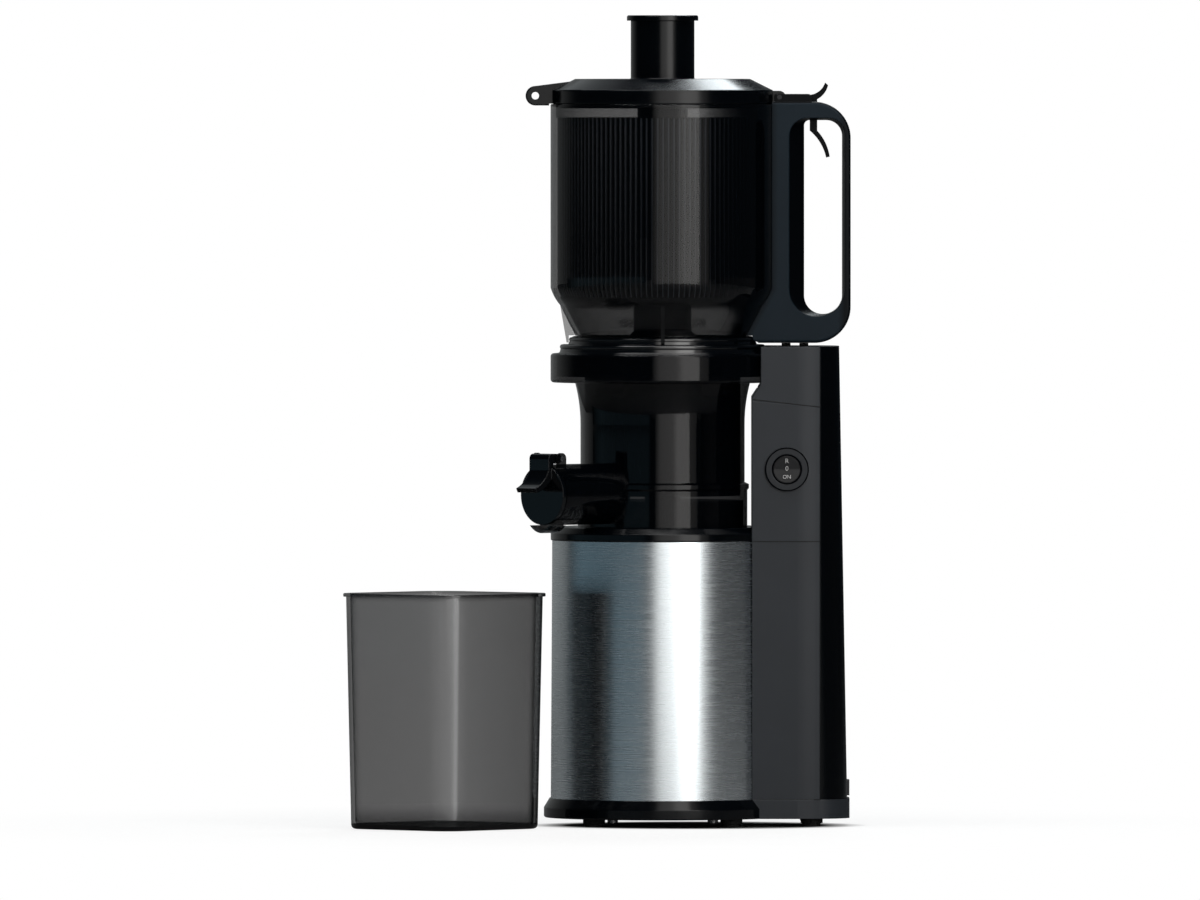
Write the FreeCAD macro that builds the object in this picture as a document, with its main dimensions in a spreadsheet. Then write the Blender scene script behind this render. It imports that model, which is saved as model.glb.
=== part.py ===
import FreeCAD, Part
import math
import os
import Sketcher

# A vertical slow juicer: a motor drum with a rear column, a juicing chamber with an auger, a wide
# ribbed hopper with a carrying handle, a hinged lid with a pusher, and a jar that stands beside it.
# +Z is up, +X points to the rear column, and -Y is the side that carries the switch. All lengths are
# millimetres. Each piece is drawn about the drum's axis, and the assembly that holds the pieces puts
# the origin on the table under the middle of the whole footprint.

DIMENSIONS = {
    # Feet and base
    "foot_height": 5.0,
    "foot_radius": 6.9,
    "foot_tip_radius": 5.6,
    "foot_tip_height": 2.0,
    "foot_x": 42.8,
    "foot_y": 44.0,
    "rear_foot_x": 93.0,
    "rear_foot_y": 26.0,
    "base_ring_proud": 4.3,
    "base_ring_step": 0.8,
    "base_ring_wall": 8.5,
    "base_ring_height": 12.0,
    "base_ring_side": 6.2,
    "plate_thickness": 3.0,
    "plate_gap": 0.3,
    "base_screw_radius": 1.75,
    "base_screw_head": 3.3,
    "base_screw_head_height": 2.0,
    "base_screw_length": 14.0,
    "base_boss_radius": 4.5,
    "base_boss_height": 24.0,
    # Drum
    "sleeve_height": 161.0,
    "sleeve_bottom_radius": 69.9,
    "sleeve_taper": 0.9,
    "sleeve_thickness": 0.8,
    "housing_wall": 3.0,
    "deck_height": 8.6,
    "deck_side": 4.6,
    "deck_proud": 0.9,
    "deck_slope": 3.7,
    "deck_rim_width": 8.0,
    "deck_boss_depth": 4.0,
    "deck_boss_radius": 26.0,
    "edge_round": 0.8,
    # Rear column
    "column_front": 55.6,
    "column_side": 42.4,
    "column_bend": 84.0,
    "column_rear": 98.0,
    "column_crease": 40.0,
    "column_back_bottom": 115.2,
    "column_back_top": 110.2,
    "column_back_flat": 20.0,
    "column_back_bend": 24.0,
    "column_wall": 2.6,
    "column_rise": 22.7,
    "column_foot_side": 43.0,
    "column_foot_back": 116.7,
    "head_front": 61.2,
    "head_seam_front_drop": 10.8,
    "head_seam_rear_drop": 14.9,
    "head_step_low_drop": 9.2,
    "head_step_high_drop": 0.7,
    "collar_clearance": 3.2,
    "joint_gap": 0.2,
    "pad_height": 1.8,
    "pad_width": 16.0,
    "pad_length": 5.5,
    "pad_near_x": 77.2,
    "pad_far_x": 88.3,
    # Switch and inlet
    "switch_x": 77.4,
    "switch_rise": 36.4,
    "bezel_radius": 13.7,
    "bezel_thickness": 1.6,
    "bezel_bore": 9.0,
    "bezel_sleeve_radius": 10.1,
    "bezel_depth": 9.0,
    "rocker_radius": 8.45,
    "rocker_root_radius": 7.4,
    "rocker_proud": 0.9,
    "rocker_dip": 0.5,
    "rocker_pivot_depth": 2.0,
    "rocker_depth": 5.6,
    "trunnion_radius": 1.1,
    "trunnion_reach": 9.6,
    "switch_body_radius": 9.6,
    "switch_body_length": 17.0,
    "inlet_width": 22.0,
    "inlet_height": 9.6,
    "inlet_length": 16.8,
    "inlet_wall": 2.2,
    "inlet_floor": 4.0,
    "inlet_above_seam": 1.8,
    "inlet_pin_radius": 1.2,
    "inlet_pin_spread": 4.3,
    "inlet_pin_length": 9.0,
    "board_thickness": 1.6,
    "board_width": 50.0,
    "board_height": 80.0,
    "board_rise": 43.0,
    "board_standoff": 4.0,
    "board_boss_radius": 3.0,
    "board_boss_inset": 6.0,
    "capacitor_radius": 9.0,
    "capacitor_length": 20.0,
    "heat_sink_width": 26.0,
    "heat_sink_height": 22.0,
    "heat_sink_depth": 12.0,
    # Motor
    "motor_gap": 14.0,
    "motor_length": 68.0,
    "motor_radius": 46.5,
    "motor_can_wall": 2.5,
    "motor_end_wall": 4.0,
    "stator_bore": 27.0,
    "stator_inset": 14.0,
    "stator_length": 44.0,
    "winding_inner": 30.0,
    "winding_outer": 41.0,
    "winding_height": 8.0,
    "winding_round": 3.0,
    "air_gap": 0.6,
    "rotor_shaft_radius": 4.0,
    "rotor_shaft_gap": 3.0,
    "bearing_outer": 8.5,
    "bearing_height": 6.0,
    "running_gap": 0.05,
    "fan_radius": 34.0,
    "fan_plate": 1.6,
    "fan_height": 8.0,
    "fan_hub_radius": 8.0,
    "fan_blade": 1.6,
    "fan_blade_root": 7.0,
    # Gearbox
    "bracket_thickness": 6.0,
    "gear_module": 1.25,
    "gear_backlash": 0.24,
    "gear_stage_height": 12.0,
    "gear_stage_gap": 2.0,
    "gear_end_gap": 3.0,
    "carrier_plate": 4.0,
    "carrier_radius": 24.0,
    "planet_pin_radius": 3.0,
    "ring_gear_wall": 4.0,
    "gearbox_wall": 4.0,
    "gearbox_flange": 46.5,
    "gearbox_flange_height": 4.0,
    "gearbox_roof": 5.0,
    "gearbox_head_room": 9.0,
    "output_bearing_outer": 16.0,
    "output_bearing_height": 9.0,
    "drive_shaft_radius": 8.5,
    "drive_hex_radius": 8.3,
    "drive_hex_length": 46.0,
    "seal_radius": 12.5,
    # Juicing chamber
    "skirt_proud": 1.7,
    "chamber_wall": 2.6,
    "chamber_floor_height": 16.4,
    "chamber_floor": 3.0,
    "ledge_proud": 1.0,
    "ledge_height": 24.0,
    "ledge_width": 2.6,
    "ledge_slope": 1.2,
    "chamber_radius": 51.3,
    "flare_out": 3.4,
    "flare_start": 64.0,
    "flare_end": 90.0,
    "flare_bend": 100.0,
    "collar_radius": 70.0,
    "collar_wall": 3.8,
    "collar_floor": 3.8,
    "collar_height": 18.2,
    "collar_round": 2.0,
    "hub_radius": 14.0,
    "hub_bore": 11.2,
    "hub_height": 20.0,
    "spout_turn": 225.0,
    "spout_height": 21.1,
    "spout_radius": 19.0,
    "spout_bore": 16.0,
    "spout_reach": 103.0,
    "spout_root": 40.0,
    "spout_bore_root": 44.5,
    "spout_lip_drop": 4.8,
    "spout_lip_radius": 9.5,
    "spout_lip_wall": 1.8,
    "spout_lip_root": 8.0,
    "spout_lip_length": 4.5,
    "pulp_turn": 135.0,
    "pulp_radius": 13.5,
    "pulp_bore": 11.0,
    "pulp_reach": 78.0,
    "strainer_gap": 2.4,
    "strainer_wall": 1.8,
    "strainer_height": 62.0,
    "strainer_foot": 5.0,
    "strainer_slot_width": 1.4,
    "strainer_slot_height": 42.0,
    "strainer_slot_low": 10.0,
    "chamber_seal_width": 5.5,
    "chamber_seal_gap": 2.7,
    "chamber_seal_height": 1.2,
    # Auger
    "auger_bottom_gap": 2.0,
    "auger_hub_gap": 1.2,
    "auger_socket_gap": 0.25,
    "auger_foot_radius": 30.0,
    "auger_neck_radius": 22.0,
    "auger_neck_height": 94.0,
    "auger_shoulder_radius": 18.0,
    "auger_head_height": 116.0,
    "auger_head_round": 4.0,
    "auger_flight_gap": 1.9,
    "auger_flight_root": 20.0,
    "auger_flight_thickness": 5.0,
    "auger_flight_tip": 3.0,
    "auger_flight_pitch": 34.0,
    "auger_flight_low": 6.0,
    "auger_flight_rise": 52.0,
    "blade_reach": 27.0,
    "blade_thickness": 2.5,
    "blade_height": 5.5,
    "blade_drop": 10.5,
    # Tap
    "tap_gap": 0.3,
    "tap_disc_inset": 0.3,
    "tap_disc_thickness": 3.0,
    "tap_seal_gap": 0.6,
    "tap_seal_wall": 2.4,
    "tap_seal_depth": 4.0,
    "tap_pin_radius": 1.5,
    "tap_pin_setback": 2.4,
    "tap_pin_rise": 3.5,
    "tap_knuckle_radius": 3.1,
    "tap_lever_width": 17.0,
    "tap_lever_thickness": 2.6,
    "tap_lever_reach": 13.0,
    "tap_lever_straight": 13.0,
    "tap_lever_drop": 24.0,
    "tap_lever_bend": 13.0,
    "tap_ear_thickness": 3.0,
    "tap_ear_gap": 0.6,
    "tap_ear_half": 3.6,
    # Hopper
    "neck_inset": 2.7,
    "neck_wall": 3.0,
    "neck_gap": 3.5,
    "neck_height": 22.0,
    "funnel_low_out": 2.7,
    "funnel_height": 19.0,
    "funnel_high_radius": 64.0,
    "shoulder_height": 11.0,
    "shoulder_bend": 28.0,
    "hopper_radius": 70.0,
    "hopper_wall": 3.2,
    "hopper_height": 114.6,
    "fin_thickness": 2.4,
    "fin_rise": 21.1,
    "fin_low_radius": 60.0,
    "lock_ring_gap": 1.0,
    "lock_ring_height": 20.1,
    "lock_ring_neck_wall": 6.5,
    "lock_ring_round": 3.0,
    "lock_ring_neck_round": 2.0,
    "fit_gap": 0.1,
    "rib_count": 120,
    "rib_depth": 1.6,
    "rib_wall": 1.0,
    "rib_low_gap": 2.0,
    "rib_high_gap": 8.6,
    # Handle
    "handle_side": 16.6,
    "handle_length": 47.4,
    "handle_rise": 1.4,
    "pad_clearance": 0.3,
    "handle_corner": 22.5,
    "handle_overlap": 10.0,
    "handle_gusset_x": 51.6,
    "handle_gusset_rise": 5.1,
    "handle_gusset_drop": 3.0,
    "handle_edge_round": 2.0,
    "window_front_out": 18.4,
    "handle_grip": 5.2,
    "window_low_rise": 17.9,
    "window_high_drop": 11.4,
    "window_high_bend": 10.0,
    "flare_width": 9.9,
    "flare_corner": 12.0,
    "flare_edge": 1.4,
    "flare_depth": 9.0,
    "cheek_length": 23.4,
    "cheek_rise": 6.3,
    "cheek_inner": 7.0,
    "cheek_outer": 12.0,
    "lid_gap": 0.9,
    # Lid, lever and pusher
    "lid_inset": 1.1,
    "lid_rim_height": 8.8,
    "lid_height": 15.7,
    "lid_slope": 14.2,
    "lid_wall": 2.8,
    "lid_plug_gap": 1.0,
    "lid_plug_wall": 2.4,
    "lid_plug_depth": 2.6,
    "gasket_proud": 0.6,
    "gasket_height": 1.2,
    "gasket_rise": 0.7,
    "chute_wall": 3.7,
    "chute_bore": 16.2,
    "chute_height": 36.4,
    "tab_eye_out": 9.5,
    "tab_eye_rise": 5.2,
    "tab_eye_radius": 6.1,
    "tab_eye_bore": 2.35,
    "tab_width": 13.0,
    "tab_root_inset": 8.0,
    "tab_top_inset": 1.4,
    "hinge_out": 3.0,
    "hinge_rise": 4.4,
    "hinge_pin_radius": 1.5,
    "hinge_knuckle_radius": 3.9,
    "hinge_knuckle_half": 6.5,
    "hinge_pocket_gap": 0.6,
    "lever_out": 24.1,
    "lever_drop": 2.5,
    "lever_pin_radius": 1.5,
    "lever_pin_half": 11.0,
    "lever_half": 4.6,
    "lever_slot_gap": 0.5,
    "lever_slot_ahead": 4.7,
    "lever_slot_behind": 5.1,
    "lever_web_ahead": 2.1,
    "lever_web_behind": 2.5,
    "lever_foot_ahead": 4.3,
    "lever_foot_rise": 3.6,
    "lever_foot_thickness": 2.2,
    "lever_tip_out": 9.3,
    "lever_tip_rise": 11.8,
    "lever_tip_thickness": 2.3,
    "lever_curl_bend": 11.0,
    "trigger_root_drop": 16.6,
    "trigger_tip_out": 10.3,
    "trigger_tip_drop": 33.4,
    "trigger_thickness": 2.2,
    "trigger_bend": 30.0,
    "pusher_gap": 0.5,
    "pusher_wall": 2.4,
    "pusher_length": 136.6,
    "pusher_cap_proud": 2.4,
    "pusher_cap_height": 3.4,
    "pusher_cap_round": 1.2,
    "pusher_plug_depth": 6.0,
    # Jar
    "jar_x": -135.9,
    "jar_y": -74.0,
    "jar_turn": 47.7,
    "jar_width": 98.4,
    "jar_corner": 20.0,
    "jar_height": 146.6,
    "jar_taper": 3.2,
    "jar_wall": 2.6,
    "jar_floor": 4.6,
    "jar_rim_width": 1.75,
    "jar_rim_height": 2.2,
    "jar_base_bevel": 2.6,
}

SUN_TEETH = 12
PLANET_TEETH = 18
RING_TEETH = 48
PLANET_COUNT = 3
FAN_BLADES = 11
STRAINER_SLOTS = 30
PRESSURE_ANGLE = math.radians(20)

doc = FreeCAD.newDocument("slow_juicer")
sheet = doc.addObject("Spreadsheet::Sheet", "Dims")
for row, (alias, number) in enumerate(DIMENSIONS.items(), 1):
    sheet.set(f"A{row}", alias)
    sheet.set(f"B{row}", str(number))
    sheet.setAlias(f"B{row}", alias)
doc.recompute()


class Size:
    """A length worked out from the sheet: its number now, and the expression that binds it."""

    def __init__(self, number, text):
        self.number = number
        self.text = text

    def __add__(self, other):
        other = as_size(other)
        return Size(self.number + other.number, f"({self.text} + {other.text})")

    def __sub__(self, other):
        other = as_size(other)
        return Size(self.number - other.number, f"({self.text} - {other.text})")

    def __mul__(self, other):
        other = as_size(other)
        return Size(self.number * other.number, f"({self.text} * {other.text})")

    def __truediv__(self, other):
        other = as_size(other)
        return Size(self.number / other.number, f"({self.text} / {other.text})")

    def __radd__(self, other):
        return as_size(other) + self

    def __rsub__(self, other):
        return as_size(other) - self

    def __rmul__(self, other):
        return as_size(other) * self

    def __neg__(self):
        return Size(-self.number, f"(0 - {self.text})")

    def root(self):
        """The square root."""
        return Size(math.sqrt(self.number), f"sqrt({self.text})")


class Cells:
    """The sheet's cells by alias, each as a Size."""

    def __init__(self, target):
        for name in DIMENSIONS:
            setattr(self, name, Size(float(target.get(name)), f"{target.Name}.{name}"))


def as_size(thing):
    """A plain number as a Size, and a Size as it is."""
    return thing if isinstance(thing, Size) else Size(float(thing), repr(float(thing)))


d = Cells(sheet)
PARTS = []

# Heights that the stack of pieces shares
plate_top = d.foot_height + d.plate_thickness
ring_top = d.foot_height + d.base_ring_height
sleeve_top = ring_top + d.sleeve_height
deck_top = sleeve_top + d.deck_height
boss_bottom = sleeve_top - d.deck_boss_depth
floor_top = deck_top + d.chamber_floor_height + d.chamber_floor
collar_base = deck_top + d.flare_end + d.fit_gap
collar_seat = collar_base + d.collar_floor
collar_top = collar_base + d.collar_height
spout_level = deck_top + d.spout_height

# Radii that follow from one another
base_ring_radius = d.sleeve_bottom_radius + d.base_ring_proud
base_ring_top_radius = d.sleeve_bottom_radius + d.base_ring_step
sleeve_top_radius = d.sleeve_bottom_radius - d.sleeve_taper
deck_radius = sleeve_top_radius + d.deck_proud
deck_top_radius = deck_radius - d.deck_slope
skirt_radius = d.chamber_radius + d.skirt_proud
ledge_radius = skirt_radius + d.ledge_proud
flare_radius = d.chamber_radius + d.flare_out
neck_radius = flare_radius - d.neck_inset
funnel_low_radius = neck_radius + d.funnel_low_out
lock_ring_neck = neck_radius + d.lock_ring_neck_wall
lock_ring_radius = d.collar_radius - d.collar_wall - d.lock_ring_gap
chamber_seal_outer = d.collar_radius - d.collar_wall - d.chamber_seal_gap
chamber_seal_inner = chamber_seal_outer - d.chamber_seal_width
strainer_bore = d.chamber_radius - d.chamber_wall - d.strainer_gap - d.strainer_wall
auger_flight_radius = strainer_bore - d.auger_flight_gap
lid_radius = d.hopper_radius - d.lid_inset
lid_top_radius = lid_radius - d.lid_slope
chute_radius = d.chute_bore + d.chute_wall
pusher_cap_radius = chute_radius + d.pusher_cap_proud
tap_disc_radius = d.spout_radius - d.tap_disc_inset
tap_seal_radius = d.spout_bore - d.tap_seal_gap
tap_pin_reach = d.spout_reach - d.tap_pin_setback
spout_lip_start = d.spout_reach - d.spout_lip_root
spout_lip_end = d.spout_reach + d.spout_lip_length

# Places along X that follow from the hopper
hinge_x = d.hopper_radius + d.hinge_out
tab_eye_x = d.hopper_radius + d.tab_eye_out
tab_root = d.hopper_radius - d.tab_root_inset
handle_inner = d.hopper_radius - d.handle_overlap
handle_back = d.hopper_radius + d.handle_length
window_front = d.hopper_radius + d.window_front_out
window_back = handle_back - d.handle_grip
flare_front = window_front - d.flare_width
cheek_end = d.hopper_radius + d.cheek_length
lever_x = d.hopper_radius + d.lever_out
lever_slot_front = lever_x - d.lever_slot_ahead
lever_slot_back = lever_x + d.lever_slot_behind
lever_web_front = lever_x - d.lever_web_ahead
lever_web_back = lever_x + d.lever_web_behind
lever_foot_x = lever_x - d.lever_foot_ahead
lever_tip_x = lever_x + d.lever_tip_out
trigger_tip_x = lever_x + d.trigger_tip_out

# Heights that follow from one another
motor_bottom = plate_top + d.motor_gap
motor_top = motor_bottom + d.motor_length
stator_bottom = motor_bottom + d.stator_inset
stator_top = stator_bottom + d.stator_length
rotor_shaft_bottom = plate_top + d.rotor_shaft_gap
board_bottom = ring_top + d.board_rise
switch_height = deck_top + d.switch_rise
column_top = collar_base + d.column_rise
head_seam_front = collar_base - d.head_seam_front_drop
head_seam_rear = collar_base - d.head_seam_rear_drop
head_step_low = collar_base - d.head_step_low_drop
head_step_high = collar_base - d.head_step_high_drop
neck_low = collar_seat + d.neck_gap
lock_ring_shoulder = collar_seat + d.lock_ring_height
fin_low = collar_seat + d.fin_rise
funnel_low = neck_low + d.neck_height
funnel_high = funnel_low + d.funnel_height
shoulder_top = funnel_high + d.shoulder_height
hopper_top = shoulder_top + d.hopper_height
rib_low = shoulder_top + d.rib_low_gap
rib_high = hopper_top - d.rib_high_gap
handle_top = hopper_top + d.handle_rise
handle_bottom = column_top + d.pad_height + d.pad_clearance
handle_gusset_height = handle_bottom + d.handle_gusset_rise
handle_gusset_top = shoulder_top - d.handle_gusset_drop
window_low = handle_bottom + d.window_low_rise
window_high = handle_top - d.window_high_drop
cheek_top = hopper_top + d.cheek_rise
lever_height = hopper_top - d.lever_drop
lever_foot_low = hopper_top + d.lever_foot_rise
lever_foot_high = lever_foot_low + d.lever_foot_thickness
lever_tip_height = hopper_top + d.lever_tip_rise
trigger_root_height = hopper_top - d.trigger_root_drop
trigger_tip_height = hopper_top - d.trigger_tip_drop
lid_top = hopper_top + d.lid_height
chute_top = lid_top + d.chute_height
hinge_level = hopper_top + d.hinge_rise


def bind(obj, name, size):
    """Sets a property from a Size and binds it to the sheet."""
    size = as_size(size)
    setattr(obj, name, size.number)
    obj.setExpression(name, size.text)


def finished(obj, label):
    """Gives a finished piece its name and lists it for writing."""
    obj.Label = label
    PARTS.append(obj)
    return obj


def bound_constraint(sketch, kind, ends, size):
    """Adds a dimension to a sketch and binds it to the sheet."""
    size = as_size(size)
    index = sketch.addConstraint(Sketcher.Constraint(kind, *ends, size.number))
    sketch.setExpression(f"Constraints[{index}]", size.text)


def arc_between(start, end, radius):
    """The shorter arc from start to end, with its centre on the left where the radius is positive."""
    chord = end - start
    half = chord.Length / 2
    rise = math.sqrt(max(radius * radius - half * half, 0.0))
    side = 1.0 if radius > 0 else -1.0
    left = FreeCAD.Vector(-chord.y, chord.x, 0).normalize()
    centre = (start + end) / 2 + left * rise * side
    first, last = (start, end) if radius > 0 else (end, start)
    angles = [math.atan2(p.y - centre.y, p.x - centre.x) for p in (first, last)]
    circle = Part.Circle(centre, FreeCAD.Vector(0, 0, 1), abs(radius))
    return Part.ArcOfCircle(circle, angles[0], angles[1])


def draw_outline(sketch, points):
    """Draws a closed outline. A point is (across, up), with a third value where an arc arrives at it:
    the arc's radius, positive where it turns left. Every corner is bound to the sheet."""
    spots = [FreeCAD.Vector(as_size(p[0]).number, as_size(p[1]).number, 0) for p in points]
    ends = []
    for i, point in enumerate(points):
        start = spots[i - 1]
        if len(point) == 3:
            radius = as_size(point[2])
            index = sketch.addGeometry(arc_between(start, spots[i], radius.number), False)
            ends.append((index, 1, 2) if radius.number > 0 else (index, 2, 1))
        else:
            index = sketch.addGeometry(Part.LineSegment(start, spots[i]), False)
            ends.append((index, 1, 2))
    for i, (index, first, last) in enumerate(ends):
        after = ends[(i + 1) % len(ends)]
        sketch.addConstraint(Sketcher.Constraint("Coincident", index, last, after[0], after[1]))
    for point, (index, first, last) in zip(points, ends):
        bound_constraint(sketch, "DistanceX", (-1, 1, index, last), point[0])
        bound_constraint(sketch, "DistanceY", (-1, 1, index, last), point[1])
        if len(point) == 3:
            radius = as_size(point[2])
            bound_constraint(sketch, "Radius", (index,), radius if radius.number > 0 else -radius)


def draw_circles(sketch, centre, radii):
    """Draws circles about one centre, the larger first where the second is a bore."""
    spot = FreeCAD.Vector(as_size(centre[0]).number, as_size(centre[1]).number, 0)
    for radius in radii:
        circle = Part.Circle(spot, FreeCAD.Vector(0, 0, 1), as_size(radius).number)
        index = sketch.addGeometry(circle, False)
        bound_constraint(sketch, "DistanceX", (-1, 1, index, 3), centre[0])
        bound_constraint(sketch, "DistanceY", (-1, 1, index, 3), centre[1])
        bound_constraint(sketch, "Radius", (index,), radius)


def new_sketch(body, plane, offset=0):
    """A sketch on one of the body's own origin planes, moved along its normal."""
    planes = {feature.Role: feature for feature in body.Origin.OriginFeatures}
    sketch = body.newObject("Sketcher::SketchObject", "outline")
    sketch.AttachmentSupport = [(planes[plane], "")]
    sketch.MapMode = "FlatFace"
    offset = as_size(offset)
    sketch.AttachmentOffset = FreeCAD.Placement(FreeCAD.Vector(0, 0, offset.number), FreeCAD.Rotation())
    sketch.setExpression("AttachmentOffset.Base.z", offset.text)
    return sketch


def turned(name, points):
    """A body turned about Z from an outline of (radius, height)."""
    body = doc.addObject("PartDesign::Body", name)
    sketch = new_sketch(body, "XZ_Plane")
    draw_outline(sketch, points)
    feature = body.newObject("PartDesign::Revolution", "turned")
    feature.Profile = sketch
    feature.ReferenceAxis = (sketch, ["V_Axis"])
    feature.Angle = 360
    return body


def padded(name, plane, low, high, points=None, circles=None):
    """A body padded from low to high along the plane's axis, from an outline or (centre, radii)."""
    body = doc.addObject("PartDesign::Body", name)
    sketch = new_sketch(body, plane, -as_size(high) if plane == "XZ_Plane" else low)
    if points:
        draw_outline(sketch, points)
    else:
        draw_circles(sketch, *circles)
    feature = body.newObject("PartDesign::Pad", "pad")
    feature.Profile = sketch
    bind(feature, "Length", as_size(high) - low)
    return body


def lofted(name, plane, low, high, low_points, high_points):
    """A body lofted between two outlines with the same corners."""
    body = doc.addObject("PartDesign::Body", name)
    ends = [low, high]
    if plane == "XZ_Plane":
        ends = [-as_size(high), -as_size(low)]
        low_points, high_points = high_points, low_points
    sketches = []
    for offset, points in zip(ends, (low_points, high_points)):
        sketch = new_sketch(body, plane, offset)
        draw_outline(sketch, points)
        sketches.append(sketch)
    feature = body.newObject("PartDesign::AdditiveLoft", "loft")
    feature.Profile = sketches[0]
    feature.Sections = sketches[1:]
    feature.Ruled = True
    return body


def soften(body, radius, chosen):
    """Rounds the edges of a body's last feature for which chosen(edge) holds."""
    doc.recompute()
    tip = body.Tip
    names = [f"Edge{i}" for i, edge in enumerate(tip.Shape.Edges, 1) if chosen(edge)]
    fillet = body.newObject("PartDesign::Fillet", "soft_edges")
    fillet.Base = (tip, names)
    bind(fillet, "Radius", radius)
    return body


def swing(obj, degrees):
    """Turns a piece that was drawn along +X about the Z axis."""
    obj.Placement = FreeCAD.Placement(
        FreeCAD.Vector(), FreeCAD.Rotation(FreeCAD.Vector(0, 0, 1), as_size(degrees).number)
    )
    obj.setExpression("Placement.Rotation.Angle", as_size(degrees).text)
    return obj


def place(obj, across, along, up):
    """Moves a primitive, bound to the sheet."""
    obj.setExpression("Placement.Base.x", as_size(across).text)
    obj.setExpression("Placement.Base.y", as_size(along).text)
    obj.setExpression("Placement.Base.z", as_size(up).text)
    return obj


def upright(name, radius, low, high, across=0, along=0):
    """An upright cylinder from low to high."""
    rod = doc.addObject("Part::Cylinder", name)
    bind(rod, "Radius", radius)
    bind(rod, "Height", as_size(high) - low)
    return place(rod, across, along, low)


def crosswise(name, radius, low, high, across, up):
    """A cylinder along Y from low to high."""
    rod = doc.addObject("Part::Cylinder", name)
    bind(rod, "Radius", radius)
    bind(rod, "Height", as_size(high) - low)
    rod.Placement = FreeCAD.Placement(
        FreeCAD.Vector(), FreeCAD.Rotation(FreeCAD.Vector(1, 0, 0), -90)
    )
    return place(rod, across, low, up)


def lengthwise(name, radius, low, high, along, up):
    """A cylinder along X from low to high."""
    rod = doc.addObject("Part::Cylinder", name)
    bind(rod, "Radius", radius)
    bind(rod, "Height", as_size(high) - low)
    rod.Placement = FreeCAD.Placement(
        FreeCAD.Vector(), FreeCAD.Rotation(FreeCAD.Vector(0, 1, 0), 90)
    )
    return place(rod, low, along, up)


def block(name, across, along, up):
    """A box between pairs of X, Y and Z."""
    box = doc.addObject("Part::Box", name)
    for side, (low, high) in zip(("Length", "Width", "Height"), (across, along, up)):
        bind(box, side, as_size(high) - low)
    return place(box, across[0], along[0], up[0])


def joined(name, *pieces):
    """Pieces fused into one."""
    fuse = doc.addObject("Part::MultiFuse", name)
    fuse.Shapes = list(pieces)
    return fuse


def cut(name, base, *tools):
    """A piece with tools taken out of it, one after another."""
    for tool in tools:
        step = doc.addObject("Part::Cut", name)
        step.Base = base
        step.Tool = tool
        base = step
    return base


def shared(name, first, second):
    """What two pieces have in common."""
    common = doc.addObject("Part::Common", name)
    common.Base = first
    common.Tool = second
    return common


def group(name, *pieces):
    """Separate solids kept as one group."""
    compound = doc.addObject("Part::Compound", name)
    compound.Links = list(pieces)
    return compound


def behind_drum():
    """The space behind the drum's flat back, where the column stands."""
    side = base_ring_radius * 2
    return block(
        "behind_drum",
        (d.column_front - d.joint_gap, d.column_foot_back * 2),
        (-side, side),
        (0, column_top),
    )


def make_feet():
    """Six stepped rubber feet."""
    spots = [(x, y * s) for x, y in ((-d.foot_x, d.foot_y), (d.foot_x, d.foot_y)) for s in (-1, 1)]
    spots += [(d.rear_foot_x, d.rear_foot_y * s) for s in (-1, 1)]
    feet = []
    for across, along in spots:
        tip = upright("foot_tip", d.foot_tip_radius, 0, d.foot_tip_height, across, along)
        top = upright("foot_top", d.foot_radius, d.foot_tip_height, d.foot_height, across, along)
        feet.append(joined("foot", tip, top))
    finished(group("feet", *feet), "rubber_feet")


def base_screw_spots():
    """Where the base screws stand, on the housing's bosses."""
    reach = d.sleeve_bottom_radius - d.housing_wall - d.base_boss_radius
    half = reach / 2
    high = reach * Size(math.sqrt(3) / 2, "(sqrt(3) / 2)")
    return [(half * a, high * b) for a in (-1, 1) for b in (-1, 1)]


def make_base():
    """The chamfered base ring, the plate under the drum and column, and its screws."""
    ring_bore = base_ring_radius - d.base_ring_wall
    ring = turned(
        "ring_blank",
        [
            (ring_bore, d.foot_height),
            (base_ring_radius - d.edge_round, d.foot_height),
            (base_ring_radius, d.foot_height + d.edge_round),
            (base_ring_radius, d.foot_height + d.base_ring_side),
            (base_ring_top_radius, ring_top),
            (ring_bore, ring_top),
        ],
    )
    foot_side = d.column_foot_side + d.joint_gap
    column_room = block(
        "column_room",
        (d.foot_x, d.column_foot_back * 2),
        (-foot_side, foot_side),
        (0, column_top),
    )
    finished(cut("ring", ring, column_room), "base_ring")

    disc = upright("plate_disc", ring_bore - d.plate_gap, d.foot_height, plate_top)
    side = d.column_crease - d.column_wall - d.plate_gap
    back = d.column_foot_back - d.column_wall - d.plate_gap
    slant = d.column_back_flat - d.column_wall
    tongue = padded(
        "plate_tongue",
        "XY_Plane",
        d.foot_height,
        plate_top,
        [
            (d.plate_gap, -side),
            (d.column_bend, -side),
            (back, -slant),
            (back, slant),
            (d.column_bend, side),
            (d.plate_gap, side),
        ],
    )
    plate = joined("plate_blank", disc, tongue)
    holes = []
    screws = []
    for across, along in base_screw_spots():
        holes.append(
            upright("screw_hole", d.base_screw_radius, d.foot_height, plate_top, across, along)
        )
        head_low = d.foot_height - d.base_screw_head_height
        head = upright("screw_head", d.base_screw_head, head_low, d.foot_height, across, along)
        shank_top = d.foot_height + d.base_screw_length
        shank = upright(
            "screw_shank", d.base_screw_radius, d.foot_height, shank_top, across, along
        )
        screws.append(joined("screw", head, shank))
    finished(cut("plate", plate, *holes), "base_plate")
    finished(group("screws", *screws), "base_screws")


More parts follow.
